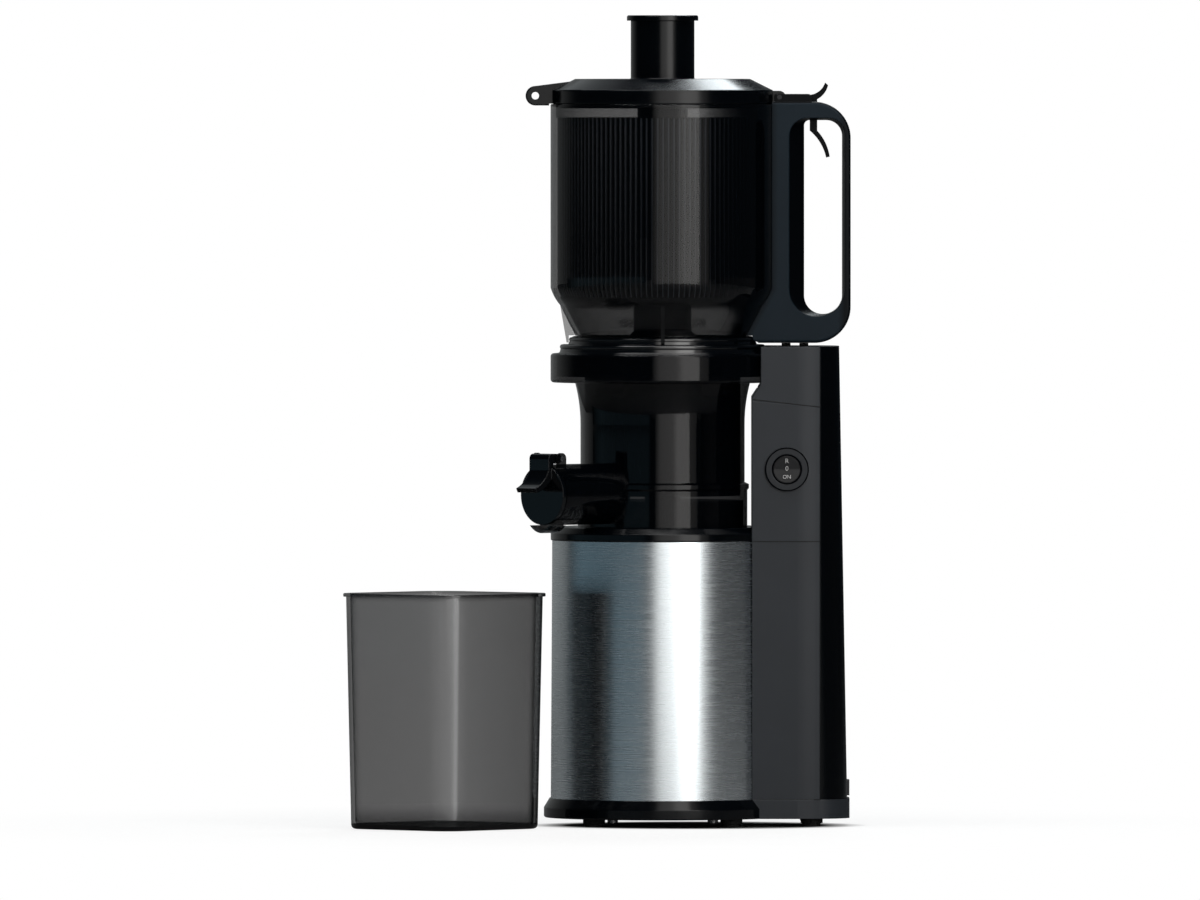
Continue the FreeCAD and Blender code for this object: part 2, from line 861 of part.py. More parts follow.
def make_drum():
    """The steel sleeve, the housing inside it with its screw bosses, and the deck on top."""
    back = behind_drum()
    bottom = d.sleeve_bottom_radius
    top = sleeve_top_radius
    inner_bottom = bottom - d.sleeve_thickness
    inner_top = top - d.sleeve_thickness
    sleeve = turned(
        "sleeve_blank",
        [(inner_bottom, ring_top), (bottom, ring_top), (top, sleeve_top), (inner_top, sleeve_top)],
    )
    finished(cut("sleeve", sleeve, back), "steel_sleeve")

    skin_bottom = inner_bottom - d.fit_gap
    skin_top = inner_top - d.fit_gap
    tube = turned(
        "housing_tube",
        [
            (skin_bottom - d.housing_wall, ring_top),
            (skin_bottom, ring_top),
            (skin_top, sleeve_top),
            (skin_top - d.housing_wall, sleeve_top),
        ],
    )
    bosses = [tube]
    bores = [back]
    for across, along in base_screw_spots():
        boss_top = plate_top + d.base_boss_height
        bosses.append(
            upright("base_boss", d.base_boss_radius, plate_top, boss_top, across, along)
        )
        bore_top = d.foot_height + d.base_screw_length
        bores.append(
            upright("base_bore", d.base_screw_radius, plate_top, bore_top, across, along)
        )
    outside = turned(
        "housing_outside",
        [
            (skin_bottom, plate_top),
            (base_ring_radius, plate_top),
            (base_ring_radius, ring_top),
            (skin_bottom, ring_top),
        ],
    )
    below_ring = turned(
        "housing_below_ring",
        [
            (base_ring_radius - d.base_ring_wall - d.plate_gap, plate_top),
            (skin_bottom, plate_top),
            (skin_bottom, ring_top),
            (base_ring_radius - d.base_ring_wall - d.plate_gap, ring_top),
        ],
    )
    housing = joined("housing_blank", *bosses)
    finished(cut("housing", housing, outside, below_ring, *bores), "motor_housing")

    side_top = sleeve_top + d.deck_side
    deck = turned(
        "deck_blank",
        [
            (d.seal_radius, boss_bottom),
            (d.deck_boss_radius, boss_bottom),
            (d.deck_boss_radius, side_top),
            (deck_radius - d.deck_rim_width, side_top),
            (deck_radius - d.deck_rim_width, sleeve_top),
            (deck_radius - d.edge_round, sleeve_top),
            (deck_radius, sleeve_top + d.edge_round, d.edge_round),
            (deck_radius, side_top),
            (deck_top_radius, deck_top - d.edge_round / 2),
            (deck_top_radius - d.edge_round, deck_top),
            (d.seal_radius, deck_top),
        ],
    )
    finished(cut("deck", deck, back), "top_deck")


def column_plan(front, wall):
    """The column's plan: flat sides, drawn in by arcs to a crease, and a straight rear."""
    side = d.column_side - wall
    crease = d.column_crease - wall
    rear = d.column_rear - wall
    run = rear - d.column_bend
    fall = side - crease
    bend = (run * run + fall * fall) / (fall * 2)
    return [
        (front, -side),
        (d.column_bend, -side),
        (rear, -crease, bend),
        (rear, crease),
        (d.column_bend, side, bend),
        (front, side),
    ]


def channel(name, low, high, outer, inner):
    """A wall between two plans, open at the front."""
    shell = padded(name, "XY_Plane", low, high, outer)
    room = padded(name + "_room", "XY_Plane", low, high, inner)
    return cut(name + "_wall", shell, room)


def board_boss_spots():
    """The board's four screw posts, as (along, up)."""
    half = d.board_width / 2 - d.board_boss_inset
    low = board_bottom + d.board_boss_inset
    high = board_bottom + d.board_height - d.board_boss_inset
    return [(half * s, up) for s in (-1, 1) for up in (low, high)]


def make_column():
    """The rear column: foot, lower, middle and head shells, the bulged back panel and two rest pads."""
    wall = d.column_wall
    open_front = d.column_front - wall
    back = d.column_foot_back
    foot_side = d.column_foot_side
    flat = d.column_back_flat
    corner = d.column_back_bend
    foot_bend = (d.column_rear - d.column_bend) * 4

    def foot_plan(front, inset):
        return [
            (front, -foot_side + inset),
            (d.column_bend, -foot_side + inset),
            (d.column_rear, -d.column_crease + inset, foot_bend),
            (back - inset, -flat + inset, corner),
            (back - inset, flat - inset),
            (d.column_rear, d.column_crease - inset, corner),
            (d.column_bend, foot_side - inset, foot_bend),
            (front, foot_side - inset),
        ]

    foot = channel(
        "column_foot_blank",
        d.foot_height,
        ring_top,
        foot_plan(d.column_front, as_size(0)),
        foot_plan(open_front, wall),
    )
    ring_room = upright(
        "ring_room", base_ring_radius + d.joint_gap, d.foot_height, ring_top
    )
    keep = block(
        "ring_room_sides",
        (0, base_ring_radius * 2),
        (-foot_side - wall, foot_side + wall),
        (d.foot_height, ring_top),
    )
    finished(cut("column_foot_cut", foot, cut("ring_room_out", ring_room, keep)), "column_foot")

    lower = channel(
        "column_lower",
        ring_top,
        sleeve_top,
        column_plan(d.column_front, as_size(0)),
        column_plan(open_front, wall),
    )
    rear_wall = d.column_rear - wall
    posts = []
    for along, up in board_boss_spots():
        post = doc.addObject("Part::Cylinder", "board_post")
        bind(post, "Radius", d.board_boss_radius)
        bind(post, "Height", d.board_standoff + wall / 2)
        post.Placement = FreeCAD.Placement(
            FreeCAD.Vector(), FreeCAD.Rotation(FreeCAD.Vector(0, 1, 0), 90)
        )
        posts.append(place(post, rear_wall - d.board_standoff, along, up))
    finished(joined("column_lower_posts", lower, *posts), "column_lower_shell")

    tube = padded(
        "column_tube",
        "XY_Plane",
        sleeve_top,
        column_top,
        column_plan(d.column_front, as_size(0)),
    )
    core = padded(
        "column_core",
        "XY_Plane",
        sleeve_top,
        column_top - wall,
        column_plan(d.column_front + wall, wall),
    )
    far = d.column_side * 2
    middle_slab = padded(
        "middle_slab",
        "XZ_Plane",
        -far,
        far,
        [
            (d.column_front - wall, sleeve_top),
            (d.column_rear + wall, sleeve_top),
            (d.column_rear + wall, head_seam_rear),
            (d.column_front - wall, head_seam_front),
        ],
    )
    switch_hole = crosswise(
        "switch_hole", d.bezel_sleeve_radius, -far, 0, d.switch_x, switch_height
    )
    middle = shared("column_middle", cut("column_hollow", tube, core), middle_slab)
    finished(cut("column_middle_hole", middle, switch_hole), "column_middle_shell")

    head_slab = padded(
        "head_slab",
        "XZ_Plane",
        -far,
        far,
        [
            (d.column_front - wall, head_seam_front),
            (d.column_rear + wall, head_seam_rear),
            (d.column_rear + wall, column_top),
            (d.head_front, column_top),
            (d.head_front, head_step_high),
            (d.column_front, head_step_low),
            (d.column_front - wall, head_step_low),
        ],
    )
    recess = d.collar_radius + d.collar_clearance
    recess_low = head_step_high - d.collar_clearance
    collar_room = upright("collar_room", recess, recess_low, column_top)
    recess_lining = upright("recess_lining", recess + wall, recess_low - wall, column_top)
    step_lining = block(
        "step_lining",
        (0, d.head_front + wall),
        (-far, far),
        (head_seam_front, column_top),
    )
    head_core = cut("head_core", core, recess_lining, step_lining)
    head = cut("column_head_blank", tube, collar_room, head_core)
    finished(shared("column_head_shell", head, head_slab), "column_head")

    def back_plan(reach, inset):
        front = d.column_rear - (inset if inset.number else 0)
        return [
            (front, -d.column_crease + inset),
            (reach - inset, -flat + inset, corner),
            (reach - inset, flat - inset),
            (front, d.column_crease - inset, corner),
        ]

    none = as_size(0)
    panel = lofted(
        "back_panel_blank",
        "XY_Plane",
        ring_top,
        column_top,
        back_plan(d.column_back_bottom, none),
        back_plan(d.column_back_top, none),
    )
    room = lofted(
        "back_panel_room",
        "XY_Plane",
        ring_top,
        column_top - wall,
        back_plan(d.column_back_bottom, wall),
        back_plan(d.column_back_top, wall),
    )
    inlet_low = ring_top + d.inlet_above_seam
    half = d.inlet_width / 2 + d.fit_gap
    inlet_hole = block(
        "inlet_hole",
        (d.column_rear, d.column_foot_back * 2),
        (-half, half),
        (inlet_low - d.fit_gap, inlet_low + d.inlet_height + d.fit_gap),
    )
    finished(cut("back_panel", panel, room, inlet_hole), "column_back_panel")

    pads = []
    for centre in (d.pad_near_x, d.pad_far_x):
        half_length = d.pad_length / 2
        half_width = d.pad_width / 2
        pads.append(
            block(
                "rest_pad",
                (centre - half_length, centre + half_length),
                (-half_width, half_width),
                (column_top, column_top + d.pad_height),
            )
        )
    finished(group("pads", *pads), "handle_rest_pads")


def facing_viewer(obj):
    """Stands a piece that was turned about Z on the column's -Y side, at the switch."""
    obj.Placement = FreeCAD.Placement(
        FreeCAD.Vector(), FreeCAD.Rotation(FreeCAD.Vector(1, 0, 0), 90)
    )
    return place(obj, d.switch_x, -d.column_side, switch_height)


def make_switch():
    """The round rocker switch: bezel, rocker and the body behind them."""
    bezel = turned(
        "bezel",
        [
            (d.bezel_bore, -d.bezel_depth),
            (d.bezel_sleeve_radius, -d.bezel_depth),
            (d.bezel_sleeve_radius, 0),
            (d.bezel_radius, 0),
            (d.bezel_radius, d.bezel_thickness - d.edge_round),
            (d.bezel_radius - d.edge_round, d.bezel_thickness, d.edge_round),
            (d.bezel_bore + d.edge_round, d.bezel_thickness),
            (d.bezel_bore, d.bezel_thickness - d.edge_round, d.edge_round),
        ],
    )
    facing_viewer(bezel)
    pivot = -d.column_side + d.rocker_pivot_depth
    socket = lengthwise(
        "trunnion_socket",
        d.trunnion_radius + d.running_gap,
        d.switch_x - d.bezel_radius,
        d.switch_x + d.bezel_radius,
        pivot,
        switch_height,
    )
    finished(cut("bezel_with_sockets", bezel, socket), "switch_bezel")

    button = turned(
        "rocker_round",
        [
            (0, -d.rocker_depth),
            (d.rocker_root_radius, -d.rocker_depth),
            (d.rocker_radius, -d.rocker_pivot_depth),
            (d.rocker_radius, d.rocker_proud * 2),
            (0, d.rocker_proud * 2),
        ],
    )
    far = d.rocker_radius * 2
    ridge = padded(
        "rocker_ridge",
        "YZ_Plane",
        -far,
        far,
        [
            (-far, -d.rocker_depth * 2),
            (far, -d.rocker_depth * 2),
            (far, d.rocker_proud * 2 + d.rocker_dip),
            (d.rocker_radius, d.rocker_proud + d.rocker_dip),
            (0, d.rocker_proud - d.rocker_dip),
            (-d.rocker_radius, d.rocker_proud + d.rocker_dip),
            (-far, d.rocker_proud * 2 + d.rocker_dip),
        ],
    )
    facing_viewer(button)
    facing_viewer(ridge)
    trunnion = lengthwise(
        "trunnion",
        d.trunnion_radius,
        d.switch_x - d.trunnion_reach,
        d.switch_x + d.trunnion_reach,
        pivot,
        switch_height,
    )
    finished(joined("rocker_on_trunnion", shared("rocker", button, ridge), trunnion), "switch_rocker")

    low = -d.bezel_depth - d.switch_body_length
    body = turned(
        "switch_back",
        [
            (0, low),
            (d.switch_body_radius, low),
            (d.switch_body_radius, -d.bezel_depth),
            (0, -d.bezel_depth),
        ],
    )
    finished(facing_viewer(body), "switch_body")


def make_inlet_and_board():
    """The mains inlet at the foot of the back panel, its pins, and the board in the column."""
    low = ring_top + d.inlet_above_seam
    high = low + d.inlet_height
    half = d.inlet_width / 2
    rear = d.column_foot_back
    front = rear - d.inlet_length
    body = block("inlet_body", (front, rear), (-half, half), (low, high))
    wall = d.inlet_wall
    socket = block(
        "inlet_socket",
        (front + d.inlet_floor, rear + wall),
        (-half + wall, half - wall),
        (low + wall, high - wall),
    )
    finished(cut("inlet", body, socket), "power_inlet")
    pins = []
    for side in (-1, 1):
        pin = doc.addObject("Part::Cylinder", "inlet_pin")
        bind(pin, "Radius", d.inlet_pin_radius)
        bind(pin, "Height", d.inlet_pin_length)
        pin.Placement = FreeCAD.Placement(
            FreeCAD.Vector(), FreeCAD.Rotation(FreeCAD.Vector(0, 1, 0), 90)
        )
        middle = (low + high) / 2
        pins.append(place(pin, front + d.inlet_floor, d.inlet_pin_spread * side, middle))
    finished(group("pins", *pins), "inlet_pins")

    board_back = d.column_rear - d.column_wall - d.board_standoff
    board_front = board_back - d.board_thickness
    half = d.board_width / 2
    top = board_bottom + d.board_height
    board = block("board", (board_front, board_back), (-half, half), (board_bottom, top))
    can = doc.addObject("Part::Cylinder", "capacitor")
    bind(can, "Radius", d.capacitor_radius)
    bind(can, "Height", d.capacitor_length)
    can.Placement = FreeCAD.Placement(
        FreeCAD.Vector(), FreeCAD.Rotation(FreeCAD.Vector(0, 1, 0), 90)
    )
    inset = d.capacitor_radius * 1.5
    place(can, board_front - d.capacitor_length, half - inset, top - inset)
    sink_half = d.heat_sink_width / 2
    sink_low = board_bottom + d.board_boss_inset
    sink = block(
        "heat_sink",
        (board_front - d.heat_sink_depth, board_front),
        (-sink_half, sink_half),
        (sink_low, sink_low + d.heat_sink_height),
    )
    finished(group("board_set", board, can, sink), "control_board")


def make_motor():
    """The motor: can, stator, windings and end bracket, with the rotor, shaft and fan. Returns the
    rings of its two bearings."""
    wall = d.motor_can_wall
    bore = d.bearing_outer
    inner = d.motor_radius - wall
    end = motor_bottom + d.motor_end_wall
    can = turned(
        "motor_cup",
        [
            (bore, motor_bottom),
            (d.motor_radius, motor_bottom),
            (d.motor_radius, motor_top),
            (inner, motor_top),
            (inner, end),
            (bore, end),
        ],
    )
    finished(can, "motor_can")
    stator = turned(
        "stator",
        [
            (d.stator_bore, stator_bottom),
            (inner, stator_bottom),
            (inner, stator_top),
            (d.stator_bore, stator_top),
        ],
    )
    finished(stator, "motor_stator")

    def winding(low, high):
        bend = d.winding_round
        return turned(
            "winding",
            [
                (d.winding_inner, low + bend),
                (d.winding_inner + bend, low, bend),
                (d.winding_outer - bend, low),
                (d.winding_outer, low + bend, bend),
                (d.winding_outer, high - bend),
                (d.winding_outer - bend, high, bend),
                (d.winding_inner + bend, high),
                (d.winding_inner, high - bend, bend),
            ],
        )

    upper = winding(stator_top, stator_top + d.winding_height)
    lower = winding(stator_bottom - d.winding_height, stator_bottom)
    finished(group("windings", upper, lower), "motor_windings")

    bracket_top = motor_top + d.bracket_thickness
    bracket = turned(
        "bracket",
        [
            (bore, motor_top),
            (d.motor_radius, motor_top),
            (d.motor_radius, bracket_top),
            (bore, bracket_top),
        ],
    )
    finished(bracket, "motor_bracket")
    rings = []
    for low in (motor_bottom, motor_top):
        high = low + d.bearing_height
        hole = d.rotor_shaft_radius + d.running_gap
        rings.append(turned("bearing", [(hole, low), (bore, low), (bore, high), (hole, high)]))

    sun_low = bracket_top + d.gear_end_gap
    shaft = upright(
        "shaft", d.rotor_shaft_radius, rotor_shaft_bottom, sun_low + d.gear_stage_height
    )
    finished(shaft, "rotor_shaft")
    skin = d.stator_bore - d.air_gap
    rotor = turned(
        "rotor",
        [
            (d.rotor_shaft_radius, stator_bottom),
            (skin, stator_bottom),
            (skin, stator_top),
            (d.rotor_shaft_radius, stator_top),
        ],
    )
    finished(rotor, "rotor_core")

    fan_low = rotor_shaft_bottom
    fan_top = fan_low + d.fan_height
    pieces = [
        turned(
            "fan_disc",
            [
                (d.rotor_shaft_radius, fan_low),
                (d.fan_radius, fan_low),
                (d.fan_radius, fan_low + d.fan_plate),
                (d.fan_hub_radius, fan_low + d.fan_plate),
                (d.fan_hub_radius, fan_top),
                (d.rotor_shaft_radius, fan_top),
            ],
        )
    ]
    half = d.fan_blade / 2
    for i in range(FAN_BLADES):
        blade = padded(
            "fan_blade",
            "XY_Plane",
            fan_low,
            fan_top,
            [
                (d.fan_blade_root, -half),
                (d.fan_radius - half, -half),
                (d.fan_radius - half, half),
                (d.fan_blade_root, half),
            ],
        )
        pieces.append(swing(blade, 360.0 * i / FAN_BLADES))
    finished(joined("fan", *pieces), "cooling_fan")
    return rings


def gear_face(teeth, addendum, dedendum, thinning, twist):
    """A flat gear: involute flanks as short straight runs, a tooth centred on the twist angle."""
    module = d.gear_module.number
    pitch = teeth * module / 2
    base = pitch * math.cos(PRESSURE_ANGLE)
    tip = pitch + addendum * module
    root = pitch - dedendum * module
    half = math.pi / (2 * teeth) - thinning / (2 * pitch)
    pitch_roll = math.tan(PRESSURE_ANGLE) - PRESSURE_ANGLE
    start = max(root, base)
    radii = [root] + [start + (tip - start) * k / 3 for k in range(4) if start > root or k]

    def lean(radius):
        pressure = math.acos(min(base / max(radius, base), 1.0))
        return half + pitch_roll - (math.tan(pressure) - pressure)

    points = []
    for tooth in range(teeth):
        middle = twist + 2 * math.pi * tooth / teeth
        flank = [(radius, lean(radius)) for radius in radii]
        for radius, angle in flank:
            points.append((radius, middle - angle))
        for radius, angle in reversed(flank):
            points.append((radius, middle + angle))
    spots = [FreeCAD.Vector(r * math.cos(a), r * math.sin(a), 0) for r, a in points]
    return Part.Face(Part.makePolygon(spots + spots[:1]))


def gear_solid(face, low, high):
    """A gear face drawn up from low to high."""
    lift = FreeCAD.Vector(0, 0, high - low)
    solid = face.extrude(lift)
    solid.translate(FreeCAD.Vector(0, 0, low))
    return solid


def feature(name, shape):
    """A piece whose shape is worked out here from the sheet."""
    obj = doc.addObject("Part::Feature", name)
    obj.Shape = shape
    return obj


def make_gearbox(motor_rings):
    """Two planetary stages in one ring gear, their housing, the output shaft, every bearing, the seal."""
    bracket_top = (motor_top + d.bracket_thickness).number
    module = d.gear_module.number
    height = d.gear_stage_height.number
    backlash = d.gear_backlash.number
    plate = d.carrier_plate.number
    gap = d.gear_stage_gap.number
    pin = d.planet_pin_radius.number
    first_low = bracket_top + d.gear_end_gap.number
    first_plate = first_low + height + gap
    second_low = first_plate + plate + gap
    second_plate = second_low + height + gap
    orbit = (SUN_TEETH + PLANET_TEETH) * module / 2
    ring_bore = RING_TEETH * module / 2
    ring_outer = ring_bore + 1.0 * module + d.ring_gear_wall.number
    ring_top_level = second_plate + plate

    sun = gear_face(SUN_TEETH, 0.8, 1.1, backlash, 0.0)
    planet = gear_face(PLANET_TEETH, 0.8, 1.1, backlash, math.pi / PLANET_TEETH)
    ring_room = gear_face(RING_TEETH, 1.1, 0.8, -backlash, math.pi / RING_TEETH)

    bore = Part.makeCylinder(d.rotor_shaft_radius.number, height, FreeCAD.Vector(0, 0, first_low))
    finished(feature("sun", gear_solid(sun, first_low, first_low + height).cut(bore)), "sun_gear")

    blank = Part.makeCylinder(
        ring_outer, ring_top_level - bracket_top, FreeCAD.Vector(0, 0, bracket_top)
    )
    ring = blank.cut(gear_solid(ring_room, bracket_top, ring_top_level))
    finished(feature("ring", ring), "ring_gear")

    def planets(stage, low):
        hole = pin + d.running_gap.number
        gear = gear_solid(planet, low, low + height)
        gear = gear.cut(Part.makeCylinder(hole, height, FreeCAD.Vector(0, 0, low)))
        gear.translate(FreeCAD.Vector(orbit, 0, 0))
        for i in range(PLANET_COUNT):
            turn = 360.0 * i / PLANET_COUNT
            copy = gear.copy()
            copy.rotate(FreeCAD.Vector(), FreeCAD.Vector(0, 0, 1), turn)
            finished(feature("planet", copy), f"stage_{stage}_planet_{i + 1}")

    def carrier(pin_low, plate_low):
        disc = Part.makeCylinder(d.carrier_radius.number, plate, FreeCAD.Vector(0, 0, plate_low))
        pins = []
        for i in range(PLANET_COUNT):
            angle = 2 * math.pi * i / PLANET_COUNT
            spot = FreeCAD.Vector(orbit * math.cos(angle), orbit * math.sin(angle), pin_low)
            pins.append(Part.makeCylinder(pin, plate_low - pin_low, spot))
        return disc.fuse(pins)

    planets(1, first_low)
    second_sun = gear_solid(sun, first_plate + plate, second_low + height)
    first_carrier = carrier(first_low, first_plate).fuse(second_sun).removeSplitter()
    finished(feature("carrier", first_carrier), "first_carrier")
    planets(2, second_low)
    second_carrier = carrier(second_low, second_plate).removeSplitter()
    finished(feature("carrier", second_carrier), "output_carrier")

    shaft_low = as_size(second_plate + plate)
    round_top = deck_top + d.plate_thickness
    round_part = upright("shaft_round", d.drive_shaft_radius, shaft_low, round_top)
    hexagon = doc.addObject("Part::Prism", "shaft_hex")
    hexagon.Polygon = 6
    bind(hexagon, "Circumradius", d.drive_hex_radius)
    bind(hexagon, "Height", d.drive_hex_length)
    place(hexagon, 0, 0, round_top)
    finished(joined("shaft", round_part, hexagon), "drive_shaft")

    bottom = motor_top + d.bracket_thickness
    inner = as_size(ring_outer)
    outer = inner + d.gearbox_wall
    ceiling = as_size(ring_top_level) + d.gearbox_head_room
    roof = ceiling + d.gearbox_roof
    bearing_low = boss_bottom - d.output_bearing_height
    seat = d.output_bearing_outer
    clear = d.drive_shaft_radius + d.gear_end_gap
    housing = turned(
        "gearbox",
        [
            (inner, bottom),
            (d.gearbox_flange, bottom),
            (d.gearbox_flange, bottom + d.gearbox_flange_height),
            (outer, bottom + d.gearbox_flange_height),
            (outer, roof),
            (d.deck_boss_radius, roof),
            (d.deck_boss_radius, boss_bottom),
            (seat, boss_bottom),
            (seat, bearing_low),
            (clear, bearing_low),
            (clear, ceiling),
            (inner, ceiling),
        ],
    )
    finished(housing, "gearbox_housing")
    hole = d.drive_shaft_radius + d.running_gap
    bearing = turned(
        "bearing",
        [(hole, bearing_low), (seat, bearing_low), (seat, boss_bottom), (hole, boss_bottom)],
    )
    finished(group("bearings", *motor_rings, bearing), "ball_bearings")
    seal = turned(
        "seal",
        [(hole, boss_bottom), (d.seal_radius, boss_bottom), (d.seal_radius, deck_top), (hole, deck_top)],
    )
    finished(seal, "shaft_seal")


def make_chamber():
    """The smoky juicing chamber with its collar, juice spout, pulp spout and tap ears."""
    inner = d.chamber_radius - d.chamber_wall
    skirt_inner = skirt_radius - d.chamber_wall
    ledge = deck_top + d.ledge_height
    under_floor = floor_top - d.chamber_floor
    hub_top = floor_top + d.hub_height
    bend = d.collar_round
    collar_inner = d.collar_radius - d.collar_wall
    bowl = turned(
        "bowl",
        [
            (skirt_inner, deck_top),
            (skirt_radius, deck_top),
            (skirt_radius, ledge - d.ledge_slope),
            (ledge_radius, ledge),
            (ledge_radius, ledge + d.ledge_width),
            (d.chamber_radius, ledge + d.ledge_width + d.ledge_slope),
            (d.chamber_radius, deck_top + d.flare_start),
            (flare_radius, deck_top + d.flare_end, -d.flare_bend),
            (d.collar_radius - bend, collar_base),
            (d.collar_radius, collar_base + bend, bend),
            (d.collar_radius, collar_top - bend),
            (d.collar_radius - bend, collar_top, bend),
            (collar_inner, collar_top),
            (collar_inner, collar_seat),
            (inner, collar_seat),
            (inner, floor_top),
            (d.hub_radius, floor_top),
            (d.hub_radius, hub_top),
            (d.hub_bore, hub_top),
            (d.hub_bore, under_floor),
            (skirt_inner, under_floor),
        ],
    )

    def tube(name, turn, radius, low, high):
        pipe = padded(name, "YZ_Plane", low, high, circles=((0, spout_level), (radius,)))
        return swing(pipe, turn)

    spout = tube("spout_tube", d.spout_turn, d.spout_radius, d.spout_root, d.spout_reach)
    spout_bore = tube(
        "spout_bore", d.spout_turn, d.spout_bore, d.spout_bore_root, d.spout_reach + spout_lip_end
    )
    pulp = tube("pulp_tube", d.pulp_turn, d.pulp_radius, d.spout_root, d.pulp_reach)
    pulp_bore = tube(
        "pulp_bore", d.pulp_turn, d.pulp_bore, d.spout_bore_root, d.pulp_reach + d.pulp_radius
    )
    lip_top = spout_level - tap_disc_radius - d.tap_gap
    lip_low = spout_level - d.spout_radius - d.spout_lip_drop
    lip_inner = d.spout_lip_radius - d.spout_lip_wall
    lip = swing(
        padded(
            "spout_lip",
            "YZ_Plane",
            spout_lip_start,
            spout_lip_end,
            [
                (-d.spout_lip_radius, lip_top),
                (0, lip_low, d.spout_lip_radius * 1.5),
                (d.spout_lip_radius, lip_top, d.spout_lip_radius * 1.5),
                (lip_inner, lip_top),
                (0, lip_low + d.spout_lip_wall, -d.spout_lip_radius * 1.5),
                (-lip_inner, lip_top, -d.spout_lip_radius * 1.5),
            ],
        ),
        d.spout_turn,
    )
    lip_bridge = swing(
        padded(
            "lip_bridge",
            "YZ_Plane",
            spout_lip_start,
            d.spout_reach - d.chamber_wall,
            [
                (-lip_inner, lip_top - d.spout_lip_wall),
                (lip_inner, lip_top - d.spout_lip_wall),
                (lip_inner, lip_top + d.spout_lip_wall * 2),
                (-lip_inner, lip_top + d.spout_lip_wall * 2),
            ],
        ),
        d.spout_turn,
    )
    ears = []
    pin_level = spout_level + d.spout_radius + d.tap_pin_rise
    near = d.tap_lever_width / 2 + d.tap_ear_gap
    for low in (near, -near - d.tap_ear_thickness):
        ear = padded(
            "tap_ear",
            "XZ_Plane",
            low,
            low + d.tap_ear_thickness,
            [
                (tap_pin_reach - d.tap_ear_half, spout_level + d.spout_bore / 2),
                (d.spout_reach, spout_level + d.spout_bore / 2),
                (d.spout_reach, pin_level),
                (tap_pin_reach, pin_level + d.tap_ear_half, d.tap_ear_half * 1.2),
                (tap_pin_reach - d.tap_ear_half, pin_level, d.tap_ear_half),
            ],
        )
        ears.append(swing(ear, d.spout_turn))
    pin_half = near + d.tap_ear_thickness
    pin_room = padded(
        "tap_pin_room",
        "XZ_Plane",
        -pin_half,
        pin_half,
        circles=((tap_pin_reach, pin_level), (d.tap_pin_radius,)),
    )
    swing(pin_room, d.spout_turn)
    inside = turned(
        "bowl_inside",
        [
            (d.hub_radius, floor_top),
            (inner, floor_top),
            (inner, collar_seat),
            (d.hub_radius, collar_seat),
        ],
    )
    blank = joined("chamber_blank", bowl, spout, pulp, lip, lip_bridge, *ears)
    moulding = cut("chamber_moulding", blank, inside, spout_bore, pulp_bore, pin_room)
    around = turned(
        "spout_zone",
        [
            (ledge_radius, lip_low - d.spout_lip_wall),
            (d.spout_reach * 2, lip_low - d.spout_lip_wall),
            (d.spout_reach * 2, deck_top + d.flare_start),
            (ledge_radius, deck_top + d.flare_start),
        ],
    )
    finished(cut("chamber", moulding, around), "juice_chamber")
    finished(shared("spouts", moulding, around), "chamber_spouts")
    pin = padded(
        "tap_pin_rod",
        "XZ_Plane",
        -pin_half,
        pin_half,
        circles=((tap_pin_reach, pin_level), (d.tap_pin_radius,)),
    )
    finished(swing(pin, d.spout_turn), "tap_pin")

    seal_top = collar_seat + d.chamber_seal_height
    seal = turned(
        "seal",
        [
            (chamber_seal_inner, collar_seat),
            (chamber_seal_outer, collar_seat),
            (chamber_seal_outer, seal_top),
            (chamber_seal_inner, seal_top),
        ],
    )
    finished(seal, "chamber_seal")

    outer = inner - d.strainer_gap
    mesh_inner = outer - d.strainer_wall
    foot_top = floor_top + d.chamber_floor
    cup = turned(
        "strainer_cup",
        [
            (mesh_inner - d.strainer_foot, floor_top),
            (outer, floor_top),
            (outer, floor_top + d.strainer_height),
            (mesh_inner, floor_top + d.strainer_height),
            (mesh_inner, foot_top),
            (mesh_inner - d.strainer_foot, foot_top),
        ],
    )
    slots = []
    half = d.strainer_slot_width / 2
    low = floor_top + d.strainer_slot_low
    for i in range(STRAINER_SLOTS):
        slot = padded(
            "strainer_slot",
            "XY_Plane",
            low,
            low + d.strainer_slot_height,
            [
                (mesh_inner - d.strainer_wall, -half),
                (outer + d.strainer_wall, -half),
                (outer + d.strainer_wall, half),
                (mesh_inner - d.strainer_wall, half),
            ],
        )
        slots.append(swing(slot, 360.0 * i / STRAINER_SLOTS))
    finished(cut("strainer_mesh", cup, group("strainer_slots", *slots)), "strainer")


